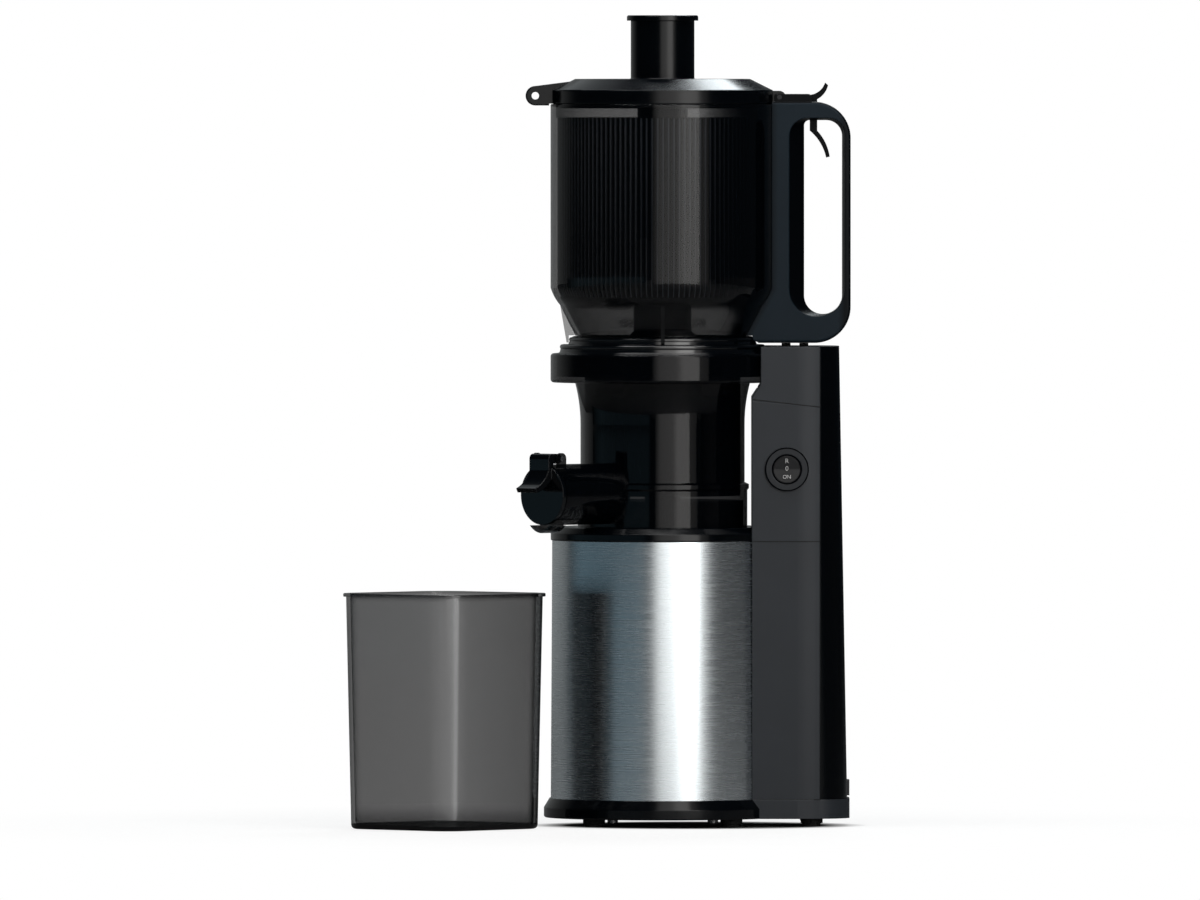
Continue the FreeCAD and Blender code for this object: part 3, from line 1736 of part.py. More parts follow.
def make_auger():
    """The auger: a tapered core over the chamber's hub, a helical flight, and a cutting blade."""
    low = floor_top + d.auger_bottom_gap + d.chamber_floor
    hub_room = d.hub_radius + d.auger_hub_gap
    hub_top = floor_top + d.hub_height + d.auger_bottom_gap
    neck = low + d.auger_neck_height
    head = low + d.auger_head_height
    bend = d.auger_head_round
    shoulder = d.auger_shoulder_radius
    body = turned(
        "auger_core",
        [
            (hub_room, low),
            (d.auger_foot_radius, low),
            (d.auger_neck_radius, neck),
            (shoulder, neck + bend),
            (shoulder, head - bend),
            (shoulder - bend, head, bend),
            (0, head),
            (0, hub_top),
            (hub_room, hub_top),
        ],
    )
    sketch = new_sketch(body, "XZ_Plane")
    flight_low = low + d.auger_flight_low
    thin = (d.auger_flight_thickness - d.auger_flight_tip) / 2
    draw_outline(
        sketch,
        [
            (d.auger_flight_root, flight_low),
            (auger_flight_radius, flight_low + thin),
            (auger_flight_radius, flight_low + thin + d.auger_flight_tip),
            (d.auger_flight_root, flight_low + d.auger_flight_thickness),
        ],
    )
    flight = body.newObject("PartDesign::AdditiveHelix", "flight")
    flight.Profile = sketch
    flight.ReferenceAxis = (sketch, ["V_Axis"])
    flight.Mode = "pitch-height-angle"
    bind(flight, "Pitch", d.auger_flight_pitch)
    bind(flight, "Height", d.auger_flight_rise)
    socket = doc.addObject("Part::Prism", "auger_socket")
    socket.Polygon = 6
    round_top = deck_top + d.plate_thickness
    bind(socket, "Circumradius", d.drive_hex_radius + d.auger_socket_gap)
    bind(socket, "Height", d.drive_hex_length + d.auger_bottom_gap / 2)
    place(socket, 0, 0, round_top)
    top = head - d.blade_drop
    half = d.blade_thickness / 2
    span = (-d.blade_reach, d.blade_reach)
    room = (top - d.blade_height, top)
    slot = block("blade_slot", span, (-half, half), room)
    finished(cut("auger", body, socket, slot), "auger_screw")
    finished(block("blade_bar", span, (-half, half), room), "auger_blade")


def make_tap():
    """The spout's flip cap: a disc, a lever that hooks over the hinge pin, and a ring seal."""
    low = d.spout_reach + d.tap_gap
    face = low + d.tap_disc_thickness
    disc = padded(
        "tap_disc", "YZ_Plane", low, face, circles=((0, spout_level), (tap_disc_radius,))
    )
    swing(disc, d.spout_turn)
    pin_level = spout_level + d.spout_radius + d.tap_pin_rise
    half = d.tap_lever_width / 2
    top = pin_level + d.tap_knuckle_radius
    front = face + d.tap_lever_thickness
    straight = top - d.tap_lever_straight
    drop = top - d.tap_lever_drop
    bend = d.tap_lever_bend
    back = tap_pin_reach - d.tap_knuckle_radius
    under = pin_level - d.tap_knuckle_radius
    lever = padded(
        "tap_lever",
        "XZ_Plane",
        -half,
        half,
        [
            (tap_pin_reach, under),
            (face - d.tap_disc_thickness / 2, under),
            (face - d.tap_disc_thickness / 2, straight),
            (face + d.tap_lever_reach, drop, bend * 1.6),
            (face + d.tap_lever_reach + d.tap_lever_thickness / 2, drop + d.tap_lever_thickness),
            (front, straight + d.tap_lever_thickness, -bend * 1.6),
            (front, top - d.tap_knuckle_radius),
            (front - d.tap_knuckle_radius, top, d.tap_knuckle_radius),
            (tap_pin_reach, top),
            (back, pin_level, d.tap_knuckle_radius),
            (tap_pin_reach, under, d.tap_knuckle_radius),
        ][1:],
    )
    swing(lever, d.spout_turn)
    pin_hole = padded(
        "tap_pin_hole",
        "XZ_Plane",
        -half - d.tap_ear_gap,
        half + d.tap_ear_gap,
        circles=((tap_pin_reach, pin_level), (d.tap_pin_radius + d.running_gap,)),
    )
    swing(pin_hole, d.spout_turn)
    finished(cut("tap", joined("tap_blank", disc, lever), pin_hole), "tap_cap")
    seal = padded(
        "tap_ring",
        "YZ_Plane",
        low - d.tap_seal_depth,
        low,
        circles=((0, spout_level), (tap_seal_radius, tap_seal_radius - d.tap_seal_wall)),
    )
    finished(swing(seal, d.spout_turn), "tap_seal")


def hopper_outside(gap):
    """The hopper's outer line from the funnel's foot to its rim, moved outwards by gap."""
    return [
        (funnel_low_radius + gap, funnel_low),
        (d.funnel_high_radius + gap, funnel_high),
        (d.hopper_radius + gap, shoulder_top, d.shoulder_bend),
    ]


def make_hopper():
    """The wide hopper, its front fin, the ribbed liner inside it and the lock ring under it."""
    wall = d.hopper_wall
    inner = d.hopper_radius - wall
    neck_inner = neck_radius - d.neck_wall
    outside = hopper_outside(as_size(0))
    shell = turned(
        "hopper_blank",
        [
            (neck_radius, neck_low),
            (neck_radius, funnel_low),
            *outside,
            (d.hopper_radius, hopper_top - d.edge_round),
            (d.hopper_radius - d.edge_round, hopper_top, d.edge_round),
            (inner, hopper_top),
            (inner, shoulder_top),
            (d.funnel_high_radius - wall, funnel_high, -d.shoulder_bend),
            (neck_inner, funnel_low - d.neck_wall),
            (neck_inner, neck_low),
        ],
    )
    half = d.fin_thickness / 2
    fin = padded(
        "hopper_fin",
        "XZ_Plane",
        -half,
        half,
        [
            (-d.funnel_high_radius, funnel_high),
            (-d.fin_low_radius, fin_low),
            (-lock_ring_neck - d.fit_gap, fin_low),
            (-lock_ring_neck - d.fit_gap, funnel_low),
            (-funnel_low_radius + half, funnel_low),
            (-d.funnel_high_radius + wall / 2, funnel_high),
        ],
    )
    finished(joined("hopper", shell, fin), "hopper_shell")

    bore = neck_radius + d.fit_gap
    low = collar_seat + d.chamber_seal_height
    bend = d.lock_ring_round
    small = d.lock_ring_neck_round
    ring = turned(
        "lock_ring_blank",
        [
            (bore, low),
            (lock_ring_radius, low),
            (lock_ring_radius, lock_ring_shoulder - bend),
            (lock_ring_radius - bend, lock_ring_shoulder, bend),
            (lock_ring_neck, lock_ring_shoulder),
            (lock_ring_neck, funnel_low - small),
            (lock_ring_neck - small, funnel_low, small),
            (bore, funnel_low),
        ],
    )
    finished(ring, "lock_ring")

    skin = (inner - d.fit_gap).number
    valley = skin - d.rib_wall.number
    ridge = valley - d.rib_depth.number
    count = int(d.rib_count.number)
    step = math.pi / count
    spots = []
    for i in range(2 * count):
        radius = ridge if i % 2 else valley
        spots.append(FreeCAD.Vector(radius * math.cos(step * i), radius * math.sin(step * i), 0))
    room = Part.Face(Part.makePolygon(spots + spots[:1]))
    low = rib_low.number
    high = rib_high.number
    tube = Part.makeCylinder(skin, high - low, FreeCAD.Vector(0, 0, low))
    finished(feature("liner", tube.cut(gear_solid(room, low, high))), "ribbed_liner")


def window_plan(front, back, low, high, bend):
    """The handle's window: a round foot, rounded upper corners and a straight front edge."""
    foot = (back - front) / 2 - d.edge_round / 4
    corner = d.window_high_bend
    return [
        (front + bend, high),
        (front, high - bend, bend),
        (front, low + foot),
        (front + foot, low, foot),
        (back - foot, low),
        (back, low + foot, foot),
        (back, high - corner),
        (back - corner, high, corner),
    ]


def make_handle():
    """The carrying handle on the hopper, with a flared window, the lid's cheeks and two pins."""
    side = d.handle_side
    corner = d.handle_corner
    outline = padded(
        "handle_outline",
        "XZ_Plane",
        -side,
        side,
        [
            (handle_inner, handle_top),
            (handle_inner, handle_gusset_top),
            (d.handle_gusset_x, handle_gusset_height),
            (handle_inner, handle_bottom),
            (handle_back - corner, handle_bottom),
            (handle_back, handle_bottom + corner, corner),
            (handle_back, handle_top - corner),
            (handle_back - corner, handle_top, corner),
        ],
    )

    def outer_edge(edge):
        box = edge.BoundBox
        flat = box.YMax - box.YMin < d.fit_gap.number
        return flat and box.XMax > handle_inner.number + corner.number / 2

    soften(outline, d.handle_edge_round, outer_edge)
    edge = d.flare_edge
    narrow = window_plan(
        window_front, window_back, window_low, window_high, d.window_high_bend / 3
    )
    wide = window_plan(
        flare_front, window_back + edge, window_low - edge, window_high + edge, d.flare_corner
    )
    window = padded("handle_window", "XZ_Plane", -side, side, narrow)
    deep = side - d.flare_depth
    near_flare = lofted("near_flare", "XZ_Plane", -side, -deep, wide, narrow)
    far_flare = lofted("far_flare", "XZ_Plane", deep, side, narrow, wide)

    cheeks = []
    cheek_front = lid_radius + d.lid_gap
    for low, high in ((-d.cheek_outer, -d.cheek_inner), (d.cheek_inner, d.cheek_outer)):
        bend = cheek_top - handle_top
        cheeks.append(
            padded(
                "hinge_cheek",
                "XZ_Plane",
                low,
                high,
                [
                    (cheek_front, handle_top - bend),
                    (cheek_end, handle_top - bend),
                    (cheek_end, cheek_top - bend / 2),
                    (cheek_end - bend / 2, cheek_top, bend / 2),
                    (cheek_front + bend / 4, cheek_top),
                    (cheek_front, cheek_top - bend / 4, bend / 4),
                ],
            )
        )
    pocket_low = hinge_level - d.hinge_knuckle_radius - d.hinge_pocket_gap
    pocket_end = hinge_x + d.hinge_knuckle_radius + d.hinge_pocket_gap
    pocket = block(
        "hinge_pocket",
        (handle_inner, pocket_end),
        (-d.cheek_inner, d.cheek_inner),
        (pocket_low, cheek_top * 2),
    )
    slot_half = d.lever_half + d.lever_slot_gap
    slot = block(
        "lever_slot",
        (lever_slot_front, lever_slot_back),
        (-slot_half, slot_half),
        (window_high - edge, cheek_top),
    )
    hinge_room = crosswise(
        "hinge_pin_room", d.hinge_pin_radius, -d.cheek_outer, d.cheek_outer, hinge_x, hinge_level
    )
    lever_room = crosswise(
        "lever_pin_room",
        d.lever_pin_radius,
        -d.lever_pin_half,
        d.lever_pin_half,
        lever_x,
        lever_height,
    )
    gap = d.fit_gap
    ring_room = lock_ring_neck + gap
    hopper_room = turned(
        "hopper_room",
        [
            (0, handle_bottom - gap),
            (ring_room, handle_bottom - gap),
            (ring_room, funnel_low),
            *hopper_outside(gap),
            (d.hopper_radius + gap, cheek_top),
            (0, cheek_top),
        ],
    )
    lid_room = upright(
        "lid_room", lid_radius + d.lid_gap, hopper_top - gap, cheek_top * 2
    )
    blank = joined("handle_blank", outline, *cheeks)
    tools = (window, near_flare, far_flare, pocket, slot)
    rooms = (hinge_room, lever_room, hopper_room, lid_room)
    finished(cut("handle", blank, *tools, *rooms), "handle_frame")

    hinge_pin = crosswise(
        "hinge_rod", d.hinge_pin_radius, -d.cheek_outer, d.cheek_outer, hinge_x, hinge_level
    )
    lever_pin = crosswise(
        "lever_rod",
        d.lever_pin_radius,
        -d.lever_pin_half,
        d.lever_pin_half,
        lever_x,
        lever_height,
    )
    finished(group("handle_rods", hinge_pin, lever_pin), "handle_pins")


def make_lid():
    """The lid with its chute, eye tab and hinge knuckle, and the gasket on its plug."""
    wall = d.lid_wall
    plug = d.hopper_radius - d.hopper_wall - d.lid_plug_gap
    plug_inner = plug - d.lid_plug_wall
    plug_low = hopper_top - d.lid_plug_depth
    rim_top = hopper_top + d.lid_rim_height
    bend = d.edge_round
    plate = turned(
        "lid_blank",
        [
            (d.chute_bore, lid_top - wall),
            (lid_top_radius, lid_top - wall),
            (plug_inner, rim_top - wall),
            (plug_inner, plug_low),
            (plug, plug_low),
            (plug, hopper_top),
            (lid_radius - bend, hopper_top),
            (lid_radius, hopper_top + bend, bend),
            (lid_radius, rim_top - bend),
            (lid_radius - bend, rim_top + bend / 4, bend),
            (lid_top_radius, lid_top),
            (chute_radius + bend, lid_top),
            (chute_radius, lid_top + bend, -bend),
            (chute_radius, chute_top),
            (d.chute_bore, chute_top),
        ],
    )
    half = d.tab_width / 2
    eye_level = hopper_top + d.tab_eye_rise
    eye_low = eye_level - d.tab_eye_radius
    step = d.hopper_radius + d.lid_gap
    tab = padded(
        "tab_blank",
        "XZ_Plane",
        -half,
        half,
        [
            (-tab_eye_x, eye_low),
            (-step, eye_low),
            (-step, hopper_top + d.plate_gap),
            (-plug, hopper_top + d.plate_gap),
            (-tab_root, hopper_top + d.lid_rim_height),
            (-lid_top_radius - d.tab_top_inset, lid_top - d.tab_top_inset),
            (-tab_eye_x, eye_level + d.tab_eye_radius),
            (-tab_eye_x - d.tab_eye_radius, eye_level, d.tab_eye_radius),
            (-tab_eye_x, eye_low, d.tab_eye_radius),
        ][1:],
    )

    def side_edge(edge):
        box = edge.BoundBox
        flat = box.YMax - box.YMin < d.fit_gap.number
        return flat and box.XMin < -tab_eye_x.number

    soften(tab, d.edge_round, side_edge)
    eye = crosswise("tab_eye", d.tab_eye_bore, -half, half, -tab_eye_x, eye_level)
    reach = d.hinge_knuckle_half
    radius = d.hinge_knuckle_radius
    knuckle = crosswise("hinge_knuckle", radius, -reach, reach, hinge_x, hinge_level)
    arm = block(
        "hinge_arm",
        (plug_inner + d.lid_plug_wall / 2, hinge_x),
        (-reach, reach),
        (hopper_top + d.plate_gap, hinge_level + radius),
    )
    pin_hole = crosswise(
        "hinge_pin_hole",
        d.hinge_pin_radius + d.running_gap,
        -reach,
        reach,
        hinge_x,
        hinge_level,
    )
    blank = joined("lid_joined", plate, tab, knuckle, arm)
    finished(cut("lid", blank, eye, pin_hole), "lid_plate")

    low = plug_low + d.gasket_rise
    high = low + d.gasket_height
    proud = plug + d.gasket_proud
    gasket = turned("gasket", [(plug, low), (proud, low), (proud, high), (plug, high)])
    finished(gasket, "lid_gasket")


def make_lever():
    """The lid lever on its pin in the handle: a thumb curl above and a finger trigger below."""
    tip = d.lever_tip_thickness
    hang = d.trigger_thickness
    half = d.lever_half
    lever = padded(
        "lever_blank",
        "XZ_Plane",
        -half,
        half,
        [
            (lever_web_front, trigger_root_height),
            (trigger_tip_x - hang, trigger_tip_height, -d.trigger_bend),
            (trigger_tip_x, trigger_tip_height + hang / 4),
            (lever_web_back, trigger_root_height, d.trigger_bend),
            (lever_web_back, handle_top + d.edge_round * 2),
            (lever_tip_x, lever_tip_height, d.lever_curl_bend + tip),
            (lever_tip_x - tip * 0.8, lever_tip_height + tip * 0.7),
            (lever_foot_x, lever_foot_high, -d.lever_curl_bend),
            (lever_foot_x, lever_foot_low),
            (lever_web_front, handle_top + d.edge_round),
        ],
    )
    hole = crosswise(
        "lever_hole",
        d.lever_pin_radius + d.running_gap,
        -half,
        half,
        lever_x,
        lever_height,
    )
    finished(cut("lever", lever, hole), "lid_lever")


def make_pusher():
    """The pusher: a hollow rod that slides in the chute, closed by a flat round cap."""
    outer = d.chute_bore - d.pusher_gap
    bore = outer - d.pusher_wall
    low = chute_top - d.pusher_length
    top = chute_top + d.pusher_cap_height
    bend = d.pusher_cap_round
    tube = turned(
        "pusher_rod",
        [
            (0, low),
            (outer - bend, low),
            (outer, low + bend, bend),
            (outer, chute_top),
            (bore, chute_top),
            (bore, low + d.pusher_wall),
            (0, low + d.pusher_wall),
        ],
    )
    finished(tube, "pusher_tube")
    plug = chute_top - d.pusher_plug_depth
    cap = turned(
        "pusher_head",
        [
            (0, plug),
            (bore - d.fit_gap, plug),
            (bore - d.fit_gap, chute_top),
            (pusher_cap_radius, chute_top),
            (pusher_cap_radius, top - bend),
            (pusher_cap_radius - bend, top, bend),
            (0, top),
        ],
    )
    finished(cap, "pusher_cap")


def jar_plan(inset):
    """The jar's plan about its own middle: a square with large round corners."""
    side = d.jar_width / 2 - inset
    corner = d.jar_corner - inset
    straight = side - corner
    return [
        (straight, -side),
        (side, -straight, corner),
        (side, straight),
        (straight, side, corner),
        (-straight, side),
        (-side, straight, corner),
        (-side, -straight),
        (-straight, -side, corner),
    ]


def stand_jar(body):
    """Turns a piece of the jar and stands it beside the drum, under the spout."""
    return place(swing(body, d.jar_turn), d.jar_x, d.jar_y, 0)


def make_jar():
    """The juice jar: a tapered shell with a chamfered foot, a thick floor and a narrow rim."""
    none = as_size(0)
    bevel = d.jar_base_bevel
    foot = lofted(
        "jar_foot", "XY_Plane", 0, bevel, jar_plan(d.jar_taper + bevel), jar_plan(d.jar_taper)
    )
    outer = lofted(
        "jar_outer", "XY_Plane", bevel, d.jar_height, jar_plan(d.jar_taper), jar_plan(none)
    )
    inner = lofted(
        "jar_inner",
        "XY_Plane",
        d.jar_floor,
        d.jar_height,
        jar_plan(d.jar_taper + d.jar_wall),
        jar_plan(d.jar_wall),
    )
    rim_low = d.jar_height - d.jar_rim_height
    rim = padded("jar_rim", "XY_Plane", rim_low, d.jar_height, jar_plan(-d.jar_rim_width))
    for body in (foot, outer, inner, rim):
        stand_jar(body)
    finished(cut("jar", joined("jar_blank", foot, outer, rim), inner), "juice_jar")


def make_assembly():
    """Holds every finished piece, with the middle of the footprint moved over the origin."""
    assembly = doc.addObject("App::Part", "Juicer")
    assembly.addObjects(PARTS)
    turn = math.radians(d.jar_turn.number)
    across = math.cos(turn) + math.sin(turn)
    jar_half = (d.jar_width / 2 - d.jar_corner) * across + d.jar_corner + d.jar_rim_width
    middle_x = (d.jar_x - jar_half + handle_back) / 2
    middle_y = (d.jar_y - jar_half + base_ring_radius) / 2
    place(assembly, -middle_x, -middle_y, 0)
    return assembly


def check_and_write(assembly):
    """Stops at any failed object or bad shape, then writes every piece where the assembly puts it."""
    doc.recompute()
    for obj in doc.Objects:
        if {"Invalid", "Error"} & set(obj.State):
            raise RuntimeError("failed: " + obj.Name)
        if obj.isDerivedFrom("Part::Feature") and (obj.Shape.isNull() or not obj.Shape.isValid()):
            raise RuntimeError("bad shape: " + obj.Name)
    os.makedirs("parts", exist_ok=True)
    for piece in PARTS:
        shape = piece.Shape.copy()
        shape.Placement = assembly.Placement.multiply(piece.Placement)
        shape.exportStep(f"parts/{piece.Label}.step")
        print(f"{piece.Label}: {len(shape.Solids)} solids, {shape.Volume:.0f} mm3")


make_feet()
make_base()
make_drum()
make_column()
make_switch()
make_inlet_and_board()
make_gearbox(make_motor())
make_chamber()
make_auger()
make_tap()
make_hopper()
make_handle()
make_lid()
make_lever()
make_pusher()
make_jar()
check_and_write(make_assembly())
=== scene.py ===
import math

import bpy
import numpy as np
from bpy.props import FloatProperty, FloatVectorProperty, IntProperty, PointerProperty
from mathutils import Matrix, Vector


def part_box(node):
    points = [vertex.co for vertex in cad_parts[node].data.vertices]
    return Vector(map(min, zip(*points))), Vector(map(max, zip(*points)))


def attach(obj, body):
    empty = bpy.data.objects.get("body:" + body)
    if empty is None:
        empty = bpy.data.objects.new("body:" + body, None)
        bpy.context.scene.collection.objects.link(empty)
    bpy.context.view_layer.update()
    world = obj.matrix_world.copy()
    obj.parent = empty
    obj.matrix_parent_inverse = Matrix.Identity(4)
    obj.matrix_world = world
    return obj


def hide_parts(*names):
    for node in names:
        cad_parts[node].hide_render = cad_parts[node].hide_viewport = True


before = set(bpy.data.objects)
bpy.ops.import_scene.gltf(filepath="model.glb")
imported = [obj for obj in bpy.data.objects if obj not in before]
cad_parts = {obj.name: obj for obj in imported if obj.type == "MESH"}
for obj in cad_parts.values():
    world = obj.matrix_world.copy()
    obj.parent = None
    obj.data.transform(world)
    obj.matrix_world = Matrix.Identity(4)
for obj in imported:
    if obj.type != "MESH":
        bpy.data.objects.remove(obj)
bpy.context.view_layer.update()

bl_info = {
    "name": "Slow juicer looks",
    "version": (1, 0, 0),
    "blender": (4, 5, 0),
    "location": "View3D > Sidebar > Juicer",
    "description": "Finishes a vertical slow juicer around its CAD frame and lights it",
    "category": "Object",
}

# Lengths are in millimetres about the drum's axis, apart from EDGE_ROUND, which is in metres. JAR_TURN is in
# degrees, and ROCKER_SLOPE is the run along the rocker in which its face rises by one.
MM = 0.001
EDGE_ROUND = 0.0009
HOPPER_RADIUS = 70.0
HOPPER_WALL = 3.2
FUNNEL_TOP = 64.0
SHOULDER_FOOT = 325.0
SHOULDER_TOP = 336.0
SHOULDER_BEND = 28.0
RIB_FOOT = 330.0
RIB_TOP = 442.0
COLUMN_SIDE = 42.4
COLUMN_BACK = 98.0
COLUMN_FRONT = 55.6
SIDE_BEND = 42.03
SIDE_BEND_START = 84.0
SWITCH_SPOT = (77.4, 223.0)
BEZEL_FACE = 44.0
ROCKER_PROUD = 0.4
ROCKER_SLOPE = 8.45
JAR_SIDE = 98.4
JAR_CORNER = 20.0
JAR_TURN = 47.7
JAR_SPOT = (-135.9, -74.0)
JAR_WALL_FOOT = 3.2
FLOOR_DROP = 0.2
FLOOR_EDGE = 2600.0

# Most of a noise texture's numbers lie in NOISE_RANGE. A grain is how closely noise is packed on each axis.
NOISE_RANGE = (0.3, 0.7)
CLOUD_SCALE = 18.0
PATCH_SCALE = 40.0
POLISH_TEXTURE = 300.0
EVEN_GRAIN = (1.0, 1.0, 1.0)
ROUND_GRAIN = (0.03, 0.03, 1.0)
SHAFT_GRAIN = (1.0, 1.0, 0.05)
BLADE_GRAIN = (1.0, 0.05, 1.0)
STACK_GRAIN = (0.05, 0.05, 1.0)
WHITE = (1.0, 1.0, 1.0, 1.0)

# What a point of the hopper's outline belongs to.
OUTSIDE, PLAIN_BAND, RIBS, FUNNEL, SHOULDER = range(5)


def drum_axis():
    """The drum's axis in metres: the middle of the motor can's box."""
    low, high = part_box("motor_can")
    return np.array([(low[0] + high[0]) / 2, (low[1] + high[1]) / 2, 0.0])


def grid_faces(rows, columns, loop_rows, loop_columns):
    """Four corners for every cell of a grid of points, joined end to end where a direction loops."""
    index = np.arange(rows * columns).reshape(rows, columns)
    if loop_rows:
        index = np.vstack([index, index[:1]])
    if loop_columns:
        index = np.hstack([index, index[:, :1]])
    corners = [index[:-1, :-1], index[:-1, 1:], index[1:, 1:], index[1:, :-1]]
    return np.stack(corners, axis=-1).reshape(-1, 4).tolist()


def capped_faces(rows, columns):
    """The cells between rows of closed rings, and one face over the first ring and over the last."""
    first = np.arange(columns)
    last = first + (rows - 1) * columns
    return grid_faces(rows, columns, False, True) + [first[::-1].tolist(), last.tolist()]


def repeated_faces(faces, step, count):
    """The faces of several like parts, whose points follow each other a step apart."""
    return [[corner + step * part for corner in face] for part in range(count) for face in faces]


def arc(centre, radius, start, end, count):
    """Points on an arc of a profile, from one angle in degrees to another."""
    angle = np.radians(np.linspace(start, end, count))
    return np.column_stack([centre[0] + radius * np.cos(angle), centre[1] + radius * np.sin(angle)])


def turned(outline, angle, inset=0.0):
    """An outline of radius and height turned about the drum's axis: at angle a, a point at radius r, less
    the inset, stands at r cos a, r sin a."""
    radius = outline[:, :1] - inset
    points = np.empty((len(outline), len(angle), 3))
    points[..., 0] = radius * np.cos(angle)
    points[..., 1] = radius * np.sin(angle)
    points[..., 2] = outline[:, 1:]
    return points


def full_turn(count):
    """Angles spaced evenly round a full turn, which loops."""
    return np.linspace(0, 2 * np.pi, count, endpoint=False)


def surface(name, points, faces, crease, material):
    """An object from points in millimetres about the drum's axis, smooth up to the crease angle."""
    spots = points.reshape(-1, 3) * MM + drum_axis()
    mesh = bpy.data.meshes.new(name)
    mesh.from_pydata(spots.tolist(), [], faces)
    mesh.polygons.foreach_set("use_smooth", np.ones(len(mesh.polygons), dtype=bool))
    mesh.set_sharp_from_angle(angle=math.radians(crease))
    mesh.materials.append(material)
    piece = bpy.data.objects.new(name, mesh)
    bpy.context.scene.collection.objects.link(piece)
    return piece


def spread_attribute(piece, name, numbers):
    """Stores one number for every point of a piece."""
    attribute = piece.data.attributes.new(name, "FLOAT", "POINT")
    attribute.data.foreach_set("value", np.asarray(numbers, dtype=np.float32).ravel())


def new_material(name):
    """A node material with its tree and its main shader."""
    material = bpy.data.materials.new(name)
    material.use_nodes = True
    tree = material.node_tree
    return material, tree, tree.nodes["Principled BSDF"]


def feed(tree, socket, thing):
    """Links a socket to another node's output, or sets it to a plain value."""
    if isinstance(thing, bpy.types.NodeSocket):
        tree.links.new(thing, socket)
    else:
        socket.default_value = thing


def reckon(tree, operation, *things):
    """The result of one sum on numbers, each a plain one or another node's output."""
    sum_node = tree.nodes.new("ShaderNodeMath")
    sum_node.operation = operation
    for socket, thing in zip(sum_node.inputs, things):
        feed(tree, socket, thing)
    return sum_node.outputs["Value"]


def ramp(tree, source, low, high, first=0.0, last=1.0, smooth=False):
    """A number that goes from the first value to the last while the source goes from low to high."""
    ranged = tree.nodes.new("ShaderNodeMapRange")
    if smooth:
        ranged.interpolation_type = "SMOOTHSTEP"
    ranged.inputs["From Min"].default_value = low
    ranged.inputs["From Max"].default_value = high
    ranged.inputs["To Min"].default_value = first
    ranged.inputs["To Max"].default_value = last
    tree.links.new(source, ranged.inputs["Value"])
    return ranged.outputs["Result"]


def mixed(tree, factor, first, second):
    """A colour that goes from the first to the second with a factor."""
    mix = tree.nodes.new("ShaderNodeMix")
    mix.data_type = "RGBA"
    tree.links.new(factor, mix.inputs["Factor"])
    feed(tree, mix.inputs["A"], first)
    feed(tree, mix.inputs["B"], second)
    return mix.outputs["Result"]


def object_place(tree):
    """Object coordinates, in metres."""
    return tree.nodes.new("ShaderNodeTexCoord").outputs["Object"]


def object_axes(tree):
    """The three object coordinates apart, named X, Y and Z."""
    split = tree.nodes.new("ShaderNodeSeparateXYZ")
    tree.links.new(object_place(tree), split.inputs["Vector"])
    return split.outputs


def distance_out(tree, place):
    """How far a place lies from the origin of its coordinates."""
    away = tree.nodes.new("ShaderNodeVectorMath")
    away.operation = "LENGTH"
    tree.links.new(place, away.inputs[0])
    return away.outputs["Value"]


def stored_share(tree, name):
    """A share that the piece keeps for each of its points."""
    reader = tree.nodes.new("ShaderNodeAttribute")
    reader.attribute_name = name
    return reader.outputs["Fac"]


def grain(tree, scale, stretch=EVEN_GRAIN, detail=4.0):
    """Noise on object coordinates, with a scale for each axis."""
    mapping = tree.nodes.new("ShaderNodeMapping")
    mapping.inputs["Scale"].default_value = stretch
    noise = tree.nodes.new("ShaderNodeTexNoise")
    noise.inputs["Scale"].default_value = scale
    noise.inputs["Detail"].default_value = detail
    tree.links.new(object_place(tree), mapping.inputs["Vector"])
    tree.links.new(mapping.outputs["Vector"], noise.inputs["Vector"])
    return noise.outputs["Fac"]


def spread(tree, source, low, high, target):
    """Maps noise to a range of numbers and feeds a socket with it."""
    tree.links.new(ramp(tree, source, *NOISE_RANGE, low, high), target)


def tint(tree, source, colour, swing, target):
    """Lets noise vary a colour by a share of itself, darker and lighter."""
    darker = [c * (1 - swing) for c in colour[:3]] + [1.0]
    lighter = [c * (1 + swing) for c in colour[:3]] + [1.0]
    tree.links.new(mixed(tree, source, darker, lighter), target)


def relief(tree, source, strength, height, shader):
    """Raises the surface by noise."""
    bump = tree.nodes.new("ShaderNodeBump")
    bump.inputs["Strength"].default_value = strength
    bump.inputs["Distance"].default_value = height
    tree.links.new(source, bump.inputs["Height"])
    tree.links.new(bump.outputs["Normal"], shader.inputs["Normal"])
    return bump


def plastic(name, colour, roughness, swing=0.12, texture=1800.0, height=0.00002, index=1.36):
    """Moulded plastic: slightly uneven colour and sheen, a fine moulded texture and softened edges."""
    material, tree, shader = new_material(name)
    patches = grain(tree, PATCH_SCALE)
    fine = grain(tree, texture, detail=2.0)
    tint(tree, patches, colour, swing, shader.inputs["Base Color"])
    spread(tree, fine, roughness * 0.9, roughness * 1.1, shader.inputs["Roughness"])
    bump = relief(tree, fine, 0.25, height, shader)
    soft_edge = tree.nodes.new("ShaderNodeBevel")
    soft_edge.inputs["Radius"].default_value = EDGE_ROUND
    tree.links.new(soft_edge.outputs["Normal"], bump.inputs["Normal"])
    shader.inputs["IOR"].default_value = index
    return material


def rubber(name, colour):
    """Matt rubber with a coarse, dusty grain."""
    return plastic(name, colour, 0.75, swing=0.25, texture=900.0, height=0.00005)


def metal(name, colour, low, high, stretch, scale, height=0.000004):
    """Worked metal: noise drawn out along the way it was ground, in colour, relief and sheen, whose
    roughness goes from low to high."""
    material, tree, shader = new_material(name)
    lines = grain(tree, scale, stretch, 6.0)
    tint(tree, lines, colour, 0.08, shader.inputs["Base Color"])
    spread(tree, lines, low, high, shader.inputs["Roughness"])
    relief(tree, lines, 0.35, height, shader)
    shader.inputs["Metallic"].default_value = 1.0
    return material


